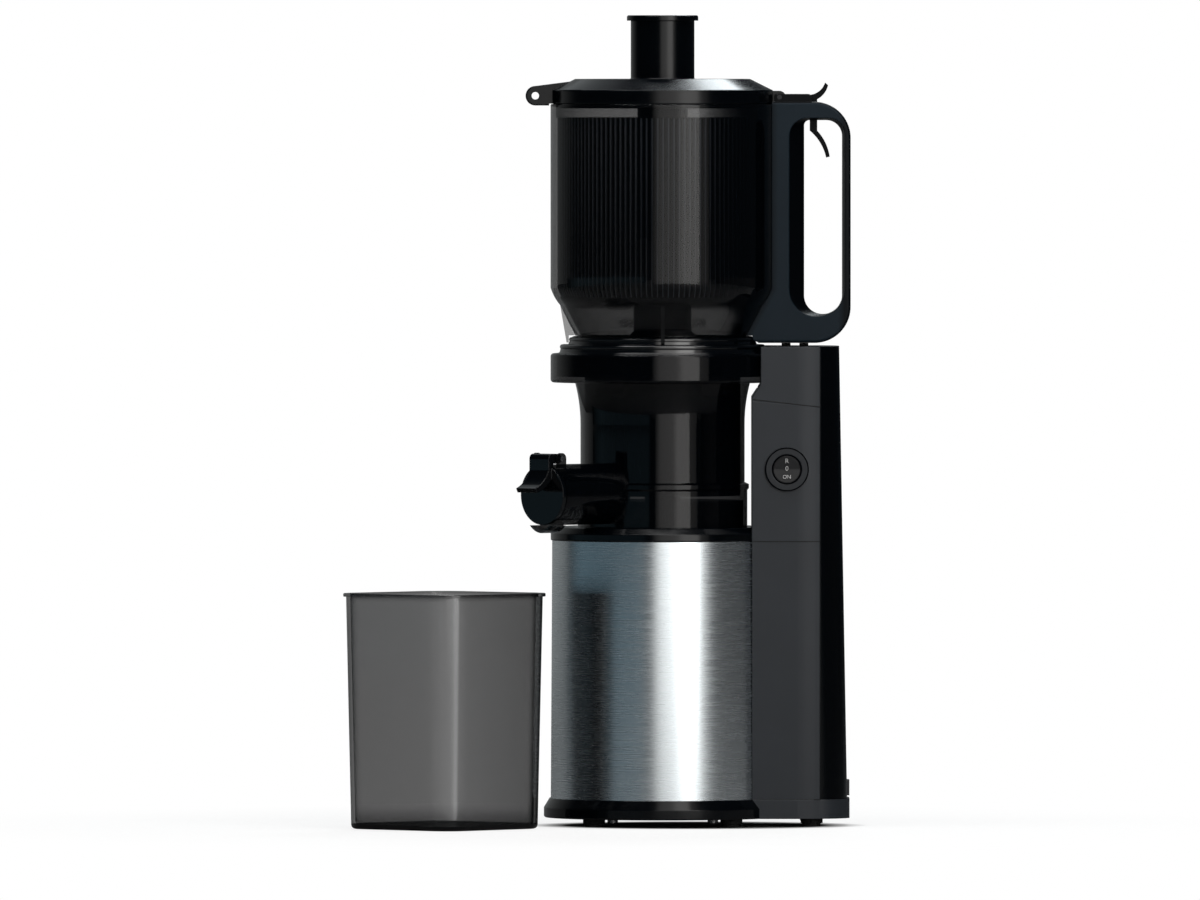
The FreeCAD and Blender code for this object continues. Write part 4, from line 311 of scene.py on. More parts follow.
def even_share(tree, share):
    """A share of light that varies slowly over the piece."""
    return ramp(tree, grain(tree, CLOUD_SCALE), *NOISE_RANGE, share * 0.96, share * 1.04)


def clear(name, roughness, index, edge, power):
    """Smoky see-through plastic, less clear where the wall is seen edge on. It returns the share of light
    that the slant leaves and the smoke's noise too, for let_through and for the colour."""
    material, tree, shader = new_material(name)
    cloud = grain(tree, CLOUD_SCALE)
    spread(tree, cloud, roughness * 0.85, roughness * 1.15, shader.inputs["Roughness"])
    shader.inputs["IOR"].default_value = index
    facing = tree.nodes.new("ShaderNodeLayerWeight")
    facing.inputs["Blend"].default_value = 0.5
    slant = reckon(tree, "POWER", facing.outputs["Facing"], power)
    kept = reckon(tree, "SUBTRACT", 1.0, reckon(tree, "MULTIPLY", slant, edge))
    return material, tree, shader, kept, cloud


def let_through(tree, shader, kept, share):
    """Feeds a clear material's alpha: one less the share that the wall lets through."""
    passed = reckon(tree, "MULTIPLY", kept, share)
    tree.links.new(reckon(tree, "SUBTRACT", 1.0, passed), shader.inputs["Alpha"])


def board(name, colour):
    """Circuit board lacquer with faint tracks under it."""
    material, tree, shader = new_material(name)
    tracks = grain(tree, 220.0, (1.0, 3.0, 0.6), 0.0)
    tint(tree, tracks, colour, 0.35, shader.inputs["Base Color"])
    spread(tree, tracks, 0.25, 0.4, shader.inputs["Roughness"])
    return material


def wire(name, colour):
    """Enamelled wire wound round the stator, as fine rings."""
    material, tree, shader = new_material(name)
    turns = grain(tree, 1400.0, (0.08, 0.08, 1.0), 1.0)
    tint(tree, turns, colour, 0.3, shader.inputs["Base Color"])
    relief(tree, turns, 0.6, 0.0002, shader)
    shader.inputs["Metallic"].default_value = 1.0
    shader.inputs["Roughness"].default_value = 0.35
    return material


def dress(material, *names):
    """Gives CAD nodes a material in place of the plain one they came with."""
    for name in names:
        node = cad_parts[name]
        for slot in node.material_slots:
            slot.material = material


class JuicerLooks(bpy.types.PropertyGroup):
    """Colours and sizes of the looks."""

    charcoal: FloatVectorProperty(
        name="Charcoal", description="Satin plastic of the column", subtype="COLOR",
        default=(0.0235, 0.0272, 0.0332),
    )
    handle: FloatVectorProperty(
        name="Handle", description="Darker satin plastic of the handle and its lever", subtype="COLOR",
        default=(0.0102, 0.0176, 0.025),
    )
    gloss: FloatVectorProperty(
        name="Gloss black", description="Polished plastic of the lid, deck and base ring", subtype="COLOR",
        default=(0.0007, 0.0013, 0.0022),
    )
    smoke: FloatVectorProperty(
        name="Smoke", description="See-through plastic of the hopper and chamber", subtype="COLOR",
        default=(0.0007, 0.0012, 0.002),
    )
    jar: FloatVectorProperty(
        name="Jar", description="See-through plastic of the jar", subtype="COLOR",
        default=(0.0012, 0.0016, 0.002),
    )
    steel: FloatVectorProperty(
        name="Steel", description="Brushed steel of the drum", subtype="COLOR",
        default=(0.78, 0.83, 0.86),
    )
    frost: FloatVectorProperty(
        name="Frost", description="Matt smoke between the ribs of the hopper", subtype="COLOR",
        default=(0.17, 0.19, 0.22),
    )
    mark: FloatVectorProperty(
        name="Marks", description="Paint of the marks on the rocker", subtype="COLOR",
        default=(0.75, 0.75, 0.75),
    )
    rib_count: IntProperty(
        name="Ribs", description="Number of ribs inside the hopper", default=120, min=12,
    )
    rib_depth: FloatProperty(
        name="Rib depth", description="How far a rib stands into the hopper", unit="LENGTH", default=0.0016,
    )
    mark_height: FloatProperty(
        name="Mark height", description="Height of a letter on the rocker", unit="LENGTH", default=0.0029,
    )
    camera_distance: FloatProperty(
        name="Camera distance", description="From the drum to the camera", unit="LENGTH", default=16.0,
    )


def shoulder(low_radius, high_radius):
    """The arc of the outline that turns the funnel into the upright wall."""
    start = np.array([low_radius, SHOULDER_FOOT])
    end = np.array([high_radius, SHOULDER_TOP])
    chord = end - start
    half = np.hypot(*chord) / 2
    left = np.array([-chord[1], chord[0]]) / (2 * half)
    centre = (start + end) / 2 + left * math.sqrt(SHOULDER_BEND ** 2 - half * half)
    angles = [math.degrees(math.atan2(*(p - centre)[::-1])) for p in (start, end)]
    return arc(centre, SHOULDER_BEND, *angles, 12)


def hopper_profile():
    """The hopper wall's outline as radius and height, counter-clockwise, and what each point belongs to."""
    inside = HOPPER_RADIUS - HOPPER_WALL
    bend = shoulder(FUNNEL_TOP - HOPPER_WALL, inside)[::-1]
    under_ribs = bend[:, 1] > RIB_FOOT
    outer = np.vstack([
        [[52.0, 284.0], [52.0, 306.0], [54.7, 306.0]],
        np.linspace((55.9, 308.4), (FUNNEL_TOP, SHOULDER_FOOT), 6),
        shoulder(FUNNEL_TOP, HOPPER_RADIUS)[1:],
        np.linspace((HOPPER_RADIUS, 345.0), (HOPPER_RADIUS, 449.8), 6),
        arc((69.2, 449.8), 0.8, 20, 90, 4),
    ])
    plain = np.array([[inside, 450.6], [inside, 446.0], [inside, 442.2]])
    liner = 1.1
    ribbed = np.vstack([
        np.linspace((inside - liner, RIB_TOP), (inside - liner, 338.0), 22),
        bend[under_ribs] - [liner, 0.0],
    ])
    inner = np.vstack([
        np.linspace((59.3, 321.8), (50.5, 304.5), 5),
        [[49.0, 303.0], [49.0, 284.0]],
    ])
    runs = (
        (OUTSIDE, outer),
        (PLAIN_BAND, plain),
        (RIBS, ribbed),
        (SHOULDER, bend[~under_ribs]),
        (FUNNEL, inner),
    )
    kind = np.concatenate([np.full(len(rows), code) for code, rows in runs])
    return np.vstack([rows for _, rows in runs]), kind


class JUICER_OT_hopper(bpy.types.Operator):
    """Builds the smoky hopper with its ribs and fins, and finishes the ring and handle on it"""

    bl_idname = "juicer.hopper"
    bl_label = "Hopper"

    def execute(self, context):
        looks = context.scene.juicer_looks
        smoky, tree, shader, kept, _ = clear(
            "smoke_wall", roughness=0.05, index=1.46, edge=0.75, power=2.0,
        )
        let_through(tree, shader, kept, stored_share(tree, "clearness"))
        self.frost(looks, tree, shader)
        self.wall(looks, smoky)
        self.fins(smoky)
        self.ring(plastic("ring_gloss", looks.gloss, 0.1, texture=POLISH_TEXTURE, height=0.000002, index=1.7))
        dress(self.satin(looks), "handle_frame", "lid_lever")
        dress(metal("pin_black", (0.03, 0.03, 0.032), 0.3, 0.42, EVEN_GRAIN, 700.0), "handle_pins")
        return {"FINISHED"}

    def satin(self, looks):
        """The handle's plastic: satin on its two flat sides, and black painted shade on its edges, inside the
        window and where it wraps round the funnel."""
        material = plastic("handle_satin_painted_shade", looks.handle, 0.4, index=1.19)
        tree = material.node_tree
        axes = object_axes(tree)
        across, middle, _ = drum_axis().tolist()
        depth = reckon(tree, "ABSOLUTE", reckon(tree, "SUBTRACT", axes["Y"], middle))
        on_side = ramp(tree, depth, 0.0158, 0.0164)
        funnel = ramp(tree, axes["Z"], 0.308, 0.335, across + 0.053, across + 0.068)
        off_funnel = ramp(tree, reckon(tree, "SUBTRACT", axes["X"], funnel), -0.002, 0.004)
        off_edge = ramp(tree, axes["X"], across + 0.1095, across + 0.1135, 1.0, 0.1)
        # Painted shade: the satin gives way to black on the flares round the window, where the handle wraps
        # round the funnel and towards the grip's outer edge.
        flat = reckon(tree, "MULTIPLY", reckon(tree, "MULTIPLY", on_side, off_funnel), off_edge)
        colour = tree.nodes["Principled BSDF"].inputs["Base Color"]
        black = (*looks.gloss, 1.0)
        tree.links.new(mixed(tree, flat, black, colour.links[0].from_socket), colour)
        return material

    def frost(self, looks, tree, shader):
        """Lightens the smoke between the ribs, with painted light and shade in that frost, and takes the
        gloss off the ribbed inside.
        """
        gloss = ramp(tree, stored_share(tree, "matt"), 0.0, 1.0, 0.5, 0.0)
        tree.links.new(gloss, shader.inputs["Specular IOR Level"])
        frosted = mixed(tree, stored_share(tree, "frost"), (*looks.smoke, 1.0), (*looks.frost, 1.0))
        tree.links.new(frosted, shader.inputs["Base Color"])

    def wall(self, looks, material):
        """The hopper's closed outline turned about the drum's axis. On the ribbed inside, the radius at
        angle a shrinks by half the rib depth times one less the cosine of the rib count times a. Shade is
        painted on the wall towards the handle, which backs it, and a little on the opposite side: there it is
        less clear and its frost darker. Light is painted on the frost too, which is lighter higher up the
        ribs."""
        outline, kind = hopper_profile()
        height = outline[:, 1:]
        points_a_rib = 8
        angle = full_turn(looks.rib_count * points_a_rib)
        wave = (1 - np.cos(looks.rib_count * angle)) / 2
        ribbed = (kind == RIBS)[:, None]
        points = turned(outline, angle, np.where(ribbed, wave * looks.rib_depth / MM, 0.0))
        shape = points.shape[:2]
        piece = surface("hopper_wall", points, grid_faces(*shape, True, True), 40, material)
        # The painted shade by the handle is narrow on the funnel, and reaches further round on the upright
        # wall.
        rise = np.interp(height, (318.0, 332.0), (0.0, 1.0))
        shade_start = 0.75 - 0.4 * rise
        shade_width = 0.15 + 0.35 * rise
        by_handle = np.clip((np.cos(angle) - shade_start) / shade_width, 0.0, 1.0)
        opposite = np.interp(-np.cos(angle), (0.9, 0.95), (0.0, 0.2))
        painted_wall_shade = by_handle + opposite
        # In the order of the kinds: outside, plain band, ribs, funnel and shoulder.
        clearness = np.choose(kind[:, None], [0.42, 0.66, 0.13 - 0.1 * wave, 0.41, 0.08])
        # Painted shade: the wall lets less light through by the handle and on the opposite side.
        spread_attribute(piece, "clearness", np.broadcast_to(clearness * (1 - 0.9 * painted_wall_shade), shape))
        # Painted light on the frost: lighter higher up the ribs, and painted shade by the handle.
        frost_painted_light = np.clip((height - RIB_FOOT) / (RIB_TOP - RIB_FOOT), 0.3, 1.0) * (1 - painted_wall_shade)
        spread_attribute(piece, "frost", np.where(ribbed, frost_painted_light * (1 - wave) ** 3, 0.0))
        spread_attribute(piece, "matt", np.broadcast_to(ribbed, shape))
        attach(piece, "hopper")
        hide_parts("hopper_shell", "ribbed_liner")

    def ring(self, material):
        """The lock ring's outline with its three soft beads, turned about the drum's axis."""
        outline = np.vstack([
            [[52.1, 281.7], [65.2, 281.7]],
            arc((64.2, 294.6), 1.0, 0, 80, 7),
            arc((62.6, 298.9), 1.6, -45, 100, 14),
            [[60.2, 300.3], [58.9, 300.7]],
            arc((57.1, 303.5), 1.4, -40, 95, 14),
            [[55.6, 305.6], [52.1, 305.8]],
        ])
        points = turned(outline, full_turn(180))
        faces = grid_faces(*points.shape[:2], True, True)
        piece = surface("lock_ring_beads", points, faces, 35, material)
        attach(piece, "hopper")
        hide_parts("lock_ring")

    def fins(self, material):
        """Flat plates between the funnel and the ring, in front, on the left and behind: an outline of
        radius and height at half the thickness to both sides, turned about the drum's axis."""
        outline = np.array([
            [64.0, 325.0], [63.8, 325.0], [54.9, 306.1], [58.6, 306.1], [58.6, 301.6], [60.0, 301.6],
        ])
        side = np.array([[1.2], [-1.2]])
        turns = (-90.0, 180.0, 90.0)
        clearness = (0.1, 0.5, 0.3)
        count = 2 * len(outline)
        points = np.empty((len(turns), 2, len(outline), 3))
        for plate, turn in zip(points, turns):
            away = math.radians(turn)
            plate[..., 0] = outline[:, 0] * math.cos(away) - side * math.sin(away)
            plate[..., 1] = outline[:, 0] * math.sin(away) + side * math.cos(away)
            plate[..., 2] = outline[:, 1]
        faces = repeated_faces(capped_faces(2, len(outline)), count, len(turns))
        piece = surface("hopper_fins", points, faces, 20, material)
        spread_attribute(piece, "clearness", np.repeat(clearness, count))
        spread_attribute(piece, "frost", np.zeros(len(turns) * count))
        spread_attribute(piece, "matt", np.zeros(len(turns) * count))
        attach(piece, "hopper")


class JUICER_OT_body(bpy.types.Operator):
    """Finishes the base, the steel drum, the column and the inlet"""

    bl_idname = "juicer.body"
    bl_label = "Base and column"

    def execute(self, context):
        looks = context.scene.juicer_looks
        satin = plastic("column_satin", looks.charcoal, 0.42)
        dress(satin, "column_foot", "column_lower_shell", "column_middle_shell", "column_head")
        gloss = plastic("body_gloss", looks.gloss, 0.14, texture=POLISH_TEXTURE, height=0.000004)
        dress(gloss, "base_ring", "top_deck")
        dress(plastic("bezel_satin", [c * 0.7 for c in looks.charcoal], 0.42), "switch_bezel")
        dress(plastic("back_gloss", looks.gloss, 0.2, index=1.25), "column_back_panel")
        brushed = metal("drum_steel", looks.steel, 0.22, 0.3, ROUND_GRAIN, 1300.0, height=0.0000004)
        dress(brushed, "steel_sleeve")
        dress(rubber("foot_rubber", (0.012, 0.012, 0.012)), "rubber_feet", "handle_rest_pads")
        dark = plastic("inner_plastic", (0.03, 0.03, 0.033), 0.5)
        dress(dark, "base_plate", "motor_housing", "switch_body", "power_inlet")
        dress(metal("screw_steel", (0.12, 0.12, 0.125), 0.2, 0.32, EVEN_GRAIN, 700.0), "base_screws")
        dress(metal("pin_brass", (0.6, 0.55, 0.42), 0.2, 0.32, EVEN_GRAIN, 700.0), "inlet_pins")
        self.seams(plastic("seam_black", looks.gloss, 0.5))
        return {"FINISHED"}

    def seams(self, material):
        """The dark joints between the column's shells: a small rectangle carried along both sides of the
        column's plan, which runs straight back and then bends in on an arc, at a height that falls evenly
        towards the rear."""
        turn = np.linspace(0, math.asin((COLUMN_BACK - SIDE_BEND_START) / SIDE_BEND), 9)
        bend = [SIDE_BEND_START + SIDE_BEND * np.sin(turn), COLUMN_SIDE - SIDE_BEND * (1 - np.cos(turn))]
        plan = np.vstack([
            np.linspace((56.0, COLUMN_SIDE), (83.0, COLUMN_SIDE), 8),
            np.column_stack(bend),
        ])
        section = np.array([[0.05, 0.3], [0.05, -0.3], [-0.3, -0.3], [-0.3, 0.3]])
        strips = []
        for height, fall in ((266.8, 0.118), (178.0, 0.0), (17.0, 0.0)):
            strip = np.empty((len(plan), len(section), 3))
            strip[..., 0] = plan[:, :1]
            strip[..., 1] = -plan[:, 1:] - section[:, 0]
            strip[..., 2] = height - fall * (plan[:, :1] - COLUMN_FRONT) + section[:, 1]
            strips.append(strip)
            strips.append(strip[::-1] * [1, -1, 1])
        single = capped_faces(len(plan), len(section))
        faces = repeated_faces(single, len(plan) * len(section), len(strips))
        piece = surface("column_seams", np.stack(strips), faces, 30, material)
        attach(piece, "base")


class JUICER_OT_drive(bpy.types.Operator):
    """Finishes the motor, the gearbox and the board"""

    bl_idname = "juicer.drive"
    bl_label = "Motor and gears"

    def execute(self, context):
        ground = metal("shaft_steel", (0.6, 0.6, 0.61), 0.18, 0.3, SHAFT_GRAIN, 900.0)
        dress(ground, "rotor_shaft", "sun_gear", "first_carrier", "output_carrier", "drive_shaft")
        dress(ground, "ball_bearings")
        plates = metal("laminations", (0.22, 0.22, 0.24), 0.4, 0.55, STACK_GRAIN, 1500.0, height=0.00003)
        dress(plates, "motor_can", "motor_stator", "rotor_core")
        cast = metal("cast_aluminium", (0.62, 0.62, 0.64), 0.4, 0.55, EVEN_GRAIN, 500.0, height=0.00004)
        dress(cast, "motor_bracket", "gearbox_housing")
        dress(wire("copper_wire", (0.7, 0.33, 0.16)), "motor_windings")
        pale = plastic("gear_plastic", (0.62, 0.6, 0.54), 0.4, swing=0.05)
        planets = [f"stage_{stage}_planet_{turn}" for stage in (1, 2) for turn in (1, 2, 3)]
        dress(pale, "ring_gear", *planets)
        dress(plastic("fan_plastic", (0.03, 0.03, 0.033), 0.5), "cooling_fan")
        dress(rubber("seal_rubber", (0.16, 0.16, 0.17)), "shaft_seal")
        dress(board("board_green", (0.02, 0.15, 0.07)), "control_board")
        return {"FINISHED"}


class JUICER_OT_chamber(bpy.types.Operator):
    """Finishes the smoky chamber, the strainer and auger in it, and the tap"""

    bl_idname = "juicer.chamber"
    bl_label = "Chamber and tap"

    def execute(self, context):
        looks = context.scene.juicer_looks
        smoky, tree, shader, kept, cloud = clear(
            "smoke_chamber", roughness=0.05, index=1.35, edge=0.75, power=2.0,
        )
        tint(tree, cloud, looks.smoke, 0.1, shader.inputs["Base Color"])
        let_through(tree, shader, kept, even_share(tree, 0.15))
        dress(smoky, "juice_chamber", "chamber_spouts")
        dark = plastic("auger_plastic", (0.01, 0.0105, 0.012), 0.35)
        dress(dark, "strainer", "auger_screw")
        steel = metal("blade_steel", (0.6, 0.6, 0.61), 0.18, 0.3, BLADE_GRAIN, 900.0)
        dress(steel, "auger_blade", "tap_pin")
        dress(rubber("seal_silicone", (0.16, 0.16, 0.17)), "chamber_seal", "tap_seal")
        gloss = plastic("tap_gloss", looks.gloss, 0.1, texture=POLISH_TEXTURE, height=0.000004, index=1.42)
        dress(gloss, "tap_cap")
        return {"FINISHED"}


class JUICER_OT_lid(bpy.types.Operator):
    """Finishes the lid and the pusher"""

    bl_idname = "juicer.lid"
    bl_label = "Lid and pusher"

    def execute(self, context):
        looks = context.scene.juicer_looks
        gloss = plastic("lid_gloss", looks.gloss, 0.18, texture=POLISH_TEXTURE, height=0.000002)
        dress(gloss, "lid_plate", "pusher_cap")
        dress(plastic("pusher_black", looks.gloss, 0.3), "pusher_tube")
        dress(rubber("gasket_silicone", (0.05, 0.05, 0.053)), "lid_gasket")
        return {"FINISHED"}


class JUICER_OT_switch(bpy.types.Operator):
    """Finishes the rocker, rings the switch and paints its marks"""

    bl_idname = "juicer.switch"
    bl_label = "Switch"

    def execute(self, context):
        looks = context.scene.juicer_looks
        dress(plastic("rocker_black", (0.012, 0.0125, 0.014), 0.35), "switch_rocker")
        paint = plastic("mark_paint", looks.mark, 0.6, swing=0.06)
        self.rings(plastic("ring_black", looks.gloss, 0.6, index=1.08))
        rows = (("R", 5.3, 1.0), ("0", 0.6, 1.0), ("ON", -4.6, 0.82))
        for text, rise, scale in rows:
            self.mark(text, rise, looks.mark_height * scale, paint)
        return {"FINISHED"}

    def rings(self, material):
        """Two fine black rings round the switch: at angle a round the switch's axis, a ring's square
        section of radius and depth stands at that radius times the cosine and sine of a."""
        angle = full_turn(96)
        depth = 0.12
        rings = []
        for inner, outer in ((8.7, 9.35), (12.9, 13.65)):
            section = np.array([[inner, 0.0], [outer, 0.0], [outer, depth], [inner, depth]])
            points = np.empty((len(section), len(angle), 3))
            points[..., 0] = SWITCH_SPOT[0] + section[:, :1] * np.cos(angle)
            points[..., 1] = -BEZEL_FACE - section[:, 1:]
            points[..., 2] = SWITCH_SPOT[1] + section[:, :1] * np.sin(angle)
            rings.append(points)
        single = grid_faces(*rings[0].shape[:2], True, True)
        faces = repeated_faces(single, rings[0][..., 0].size, len(rings))
        piece = surface("switch_rings", np.stack(rings), faces, 30, material)
        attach(piece, "base")

    def mark(self, text, rise, height, paint):
        """A letter's outline filled and thickened, then laid on the rocker: a point that stands t above
        the pivot lies a hair proud of the rocker's face there, which stands 0.4 mm out of the column at the
        middle and rises by about an eighth of t to both sides."""
        curve = bpy.data.curves.new("mark", "FONT")
        curve.body = text
        curve.align_x = "CENTER"
        curve.align_y = "CENTER"
        curve.size = 1.4 * height
        curve.extrude = 0.04 * MM
        letter = bpy.data.objects.new("mark", curve)
        bpy.context.scene.collection.objects.link(letter)
        bpy.context.view_layer.update()
        mesh = bpy.data.meshes.new_from_object(letter.evaluated_get(bpy.context.evaluated_depsgraph_get()))
        bpy.data.objects.remove(letter)
        flat = np.empty(len(mesh.vertices) * 3)
        mesh.vertices.foreach_get("co", flat)
        flat = flat.reshape(-1, 3) / MM
        up = flat[:, 1] - (flat[:, 1].max() + flat[:, 1].min()) / 2 + rise
        lift = 0.06
        out = ROCKER_PROUD + np.abs(up) / ROCKER_SLOPE + lift + flat[:, 2]
        points = np.column_stack([SWITCH_SPOT[0] + flat[:, 0], -COLUMN_SIDE - out, SWITCH_SPOT[1] + up])
        mesh.vertices.foreach_set("co", (points * MM + drum_axis()).ravel())
        mesh.materials.clear()
        mesh.materials.append(paint)
        piece = bpy.data.objects.new("switch_mark_" + text, mesh)
        bpy.context.scene.collection.objects.link(piece)
        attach(piece, "rocker")


class JUICER_OT_jar(bpy.types.Operator):
    """Builds the smoky jar"""

    bl_idname = "juicer.jar"
    bl_label = "Jar"

    def execute(self, context):
        looks = context.scene.juicer_looks
        smoky, tree, shader, kept, cloud = clear(
            "jar_smoke", roughness=0.08, index=1.4, edge=0.6, power=3.0,
        )
        tint(tree, cloud, looks.jar, 0.1, shader.inputs["Base Color"])
        let_through(tree, shader, kept, stored_share(tree, "clearness"))
        self.shell(smoky)
        return {"FINISHED"}

    def profile(self):
        """How far the wall lies inside the jar's plan and how high, from the foot up the outside, over
        the rim and down the inside, with the share of light that each point lets through."""
        runs = (
            (0.3, [[7.0, 0.0]]),
            (0.0, arc((5.8, 2.6), 2.6, -90, -180, 4)),
            (0.0, [[3.19, 2.9]]),
            (0.37, [[3.17, 3.5]]),
            (0.37, np.linspace((3.0, 11.6), (0.1, 142.1), 12)),
            (0.37, [[0.05, 144.4]]),
            (0.3, [[-1.42, 144.5], [-1.72, 144.8], [-1.72, 146.2]]),
            (0.3, [[-1.32, 146.6], [2.2, 146.6], [2.6, 146.2]]),
            (0.9, np.linspace((2.7, 142.0), (5.6, 13.5), 12)),
            (0.6, [[5.75, 4.4], [6.2, 3.5], [7.4, 3.0], [8.6, 3.0]]),
        )
        share = np.concatenate([np.full(len(rows), clearness) for clearness, rows in runs])
        return np.vstack([rows for _, rows in runs]), share

    def shell(self, material):
        """A square with round corners, drawn in by the profile and turned: the plan is a smaller square
        with the corner radius, less the inset, added along the outward direction at each of its points.
        Its four corners stand behind, on the left, in front and on the right. Above its floor, shade is
        painted round the two side corners, strongest on the right, and a highlight is painted along a line
        beside the front one: the wall lets less light through round the side corners, and more along the
        line."""
        rows, share = self.profile()
        corner_angle = np.linspace(0, 90, 37)
        out = np.radians(corner_angle)
        corner = JAR_SIDE / 2 - JAR_CORNER
        ways = np.concatenate([out + quarter * np.pi / 2 for quarter in range(4)])
        base = np.repeat(np.array([[1, 1], [-1, 1], [-1, -1], [1, -1]]) * corner, len(out), axis=0)
        reach = (JAR_CORNER - rows[:, 0])[:, None]
        flat_x = base[:, 0] + reach * np.cos(ways)
        flat_y = base[:, 1] + reach * np.sin(ways)
        turn = math.radians(JAR_TURN)
        points = np.empty((*flat_x.shape, 3))
        points[..., 0] = JAR_SPOT[0] + flat_x * math.cos(turn) - flat_y * math.sin(turn)
        points[..., 1] = JAR_SPOT[1] + flat_x * math.sin(turn) + flat_y * math.cos(turn)
        points[..., 2] = rows[:, 1:]
        piece = surface("jar_shell", points, capped_faces(*flat_x.shape), 40, material)
        bent = np.tile(corner_angle, 4) - 45.0
        painted_shade_by_corner = [0.0, 0.2, 0.0, 0.9]
        painted_highlight_by_corner = [0.0, 0.0, 1.0, 0.0]
        highlight_angles = [-45, -20, 2, 9, 13, 17, 21, 45]
        highlight_levels = [0.0, 0.08, 0.28, 0.6, 1.0, 0.95, 0.1, 0.0]
        # Painted shade round the side corners and a painted highlight beside the front corner.
        shade = np.repeat(painted_shade_by_corner, len(out)) * np.cos(1.6 * np.radians(bent)) ** 2
        painted_highlight = np.repeat(painted_highlight_by_corner, len(out)) * np.interp(bent, highlight_angles, highlight_levels)
        upright = rows[:, 1:] > JAR_WALL_FOOT
        spread_attribute(piece, "clearness", share[:, None] * np.where(upright, 1 - shade + painted_highlight, 1.0))
        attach(piece, "jar")
        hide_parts("juice_jar")


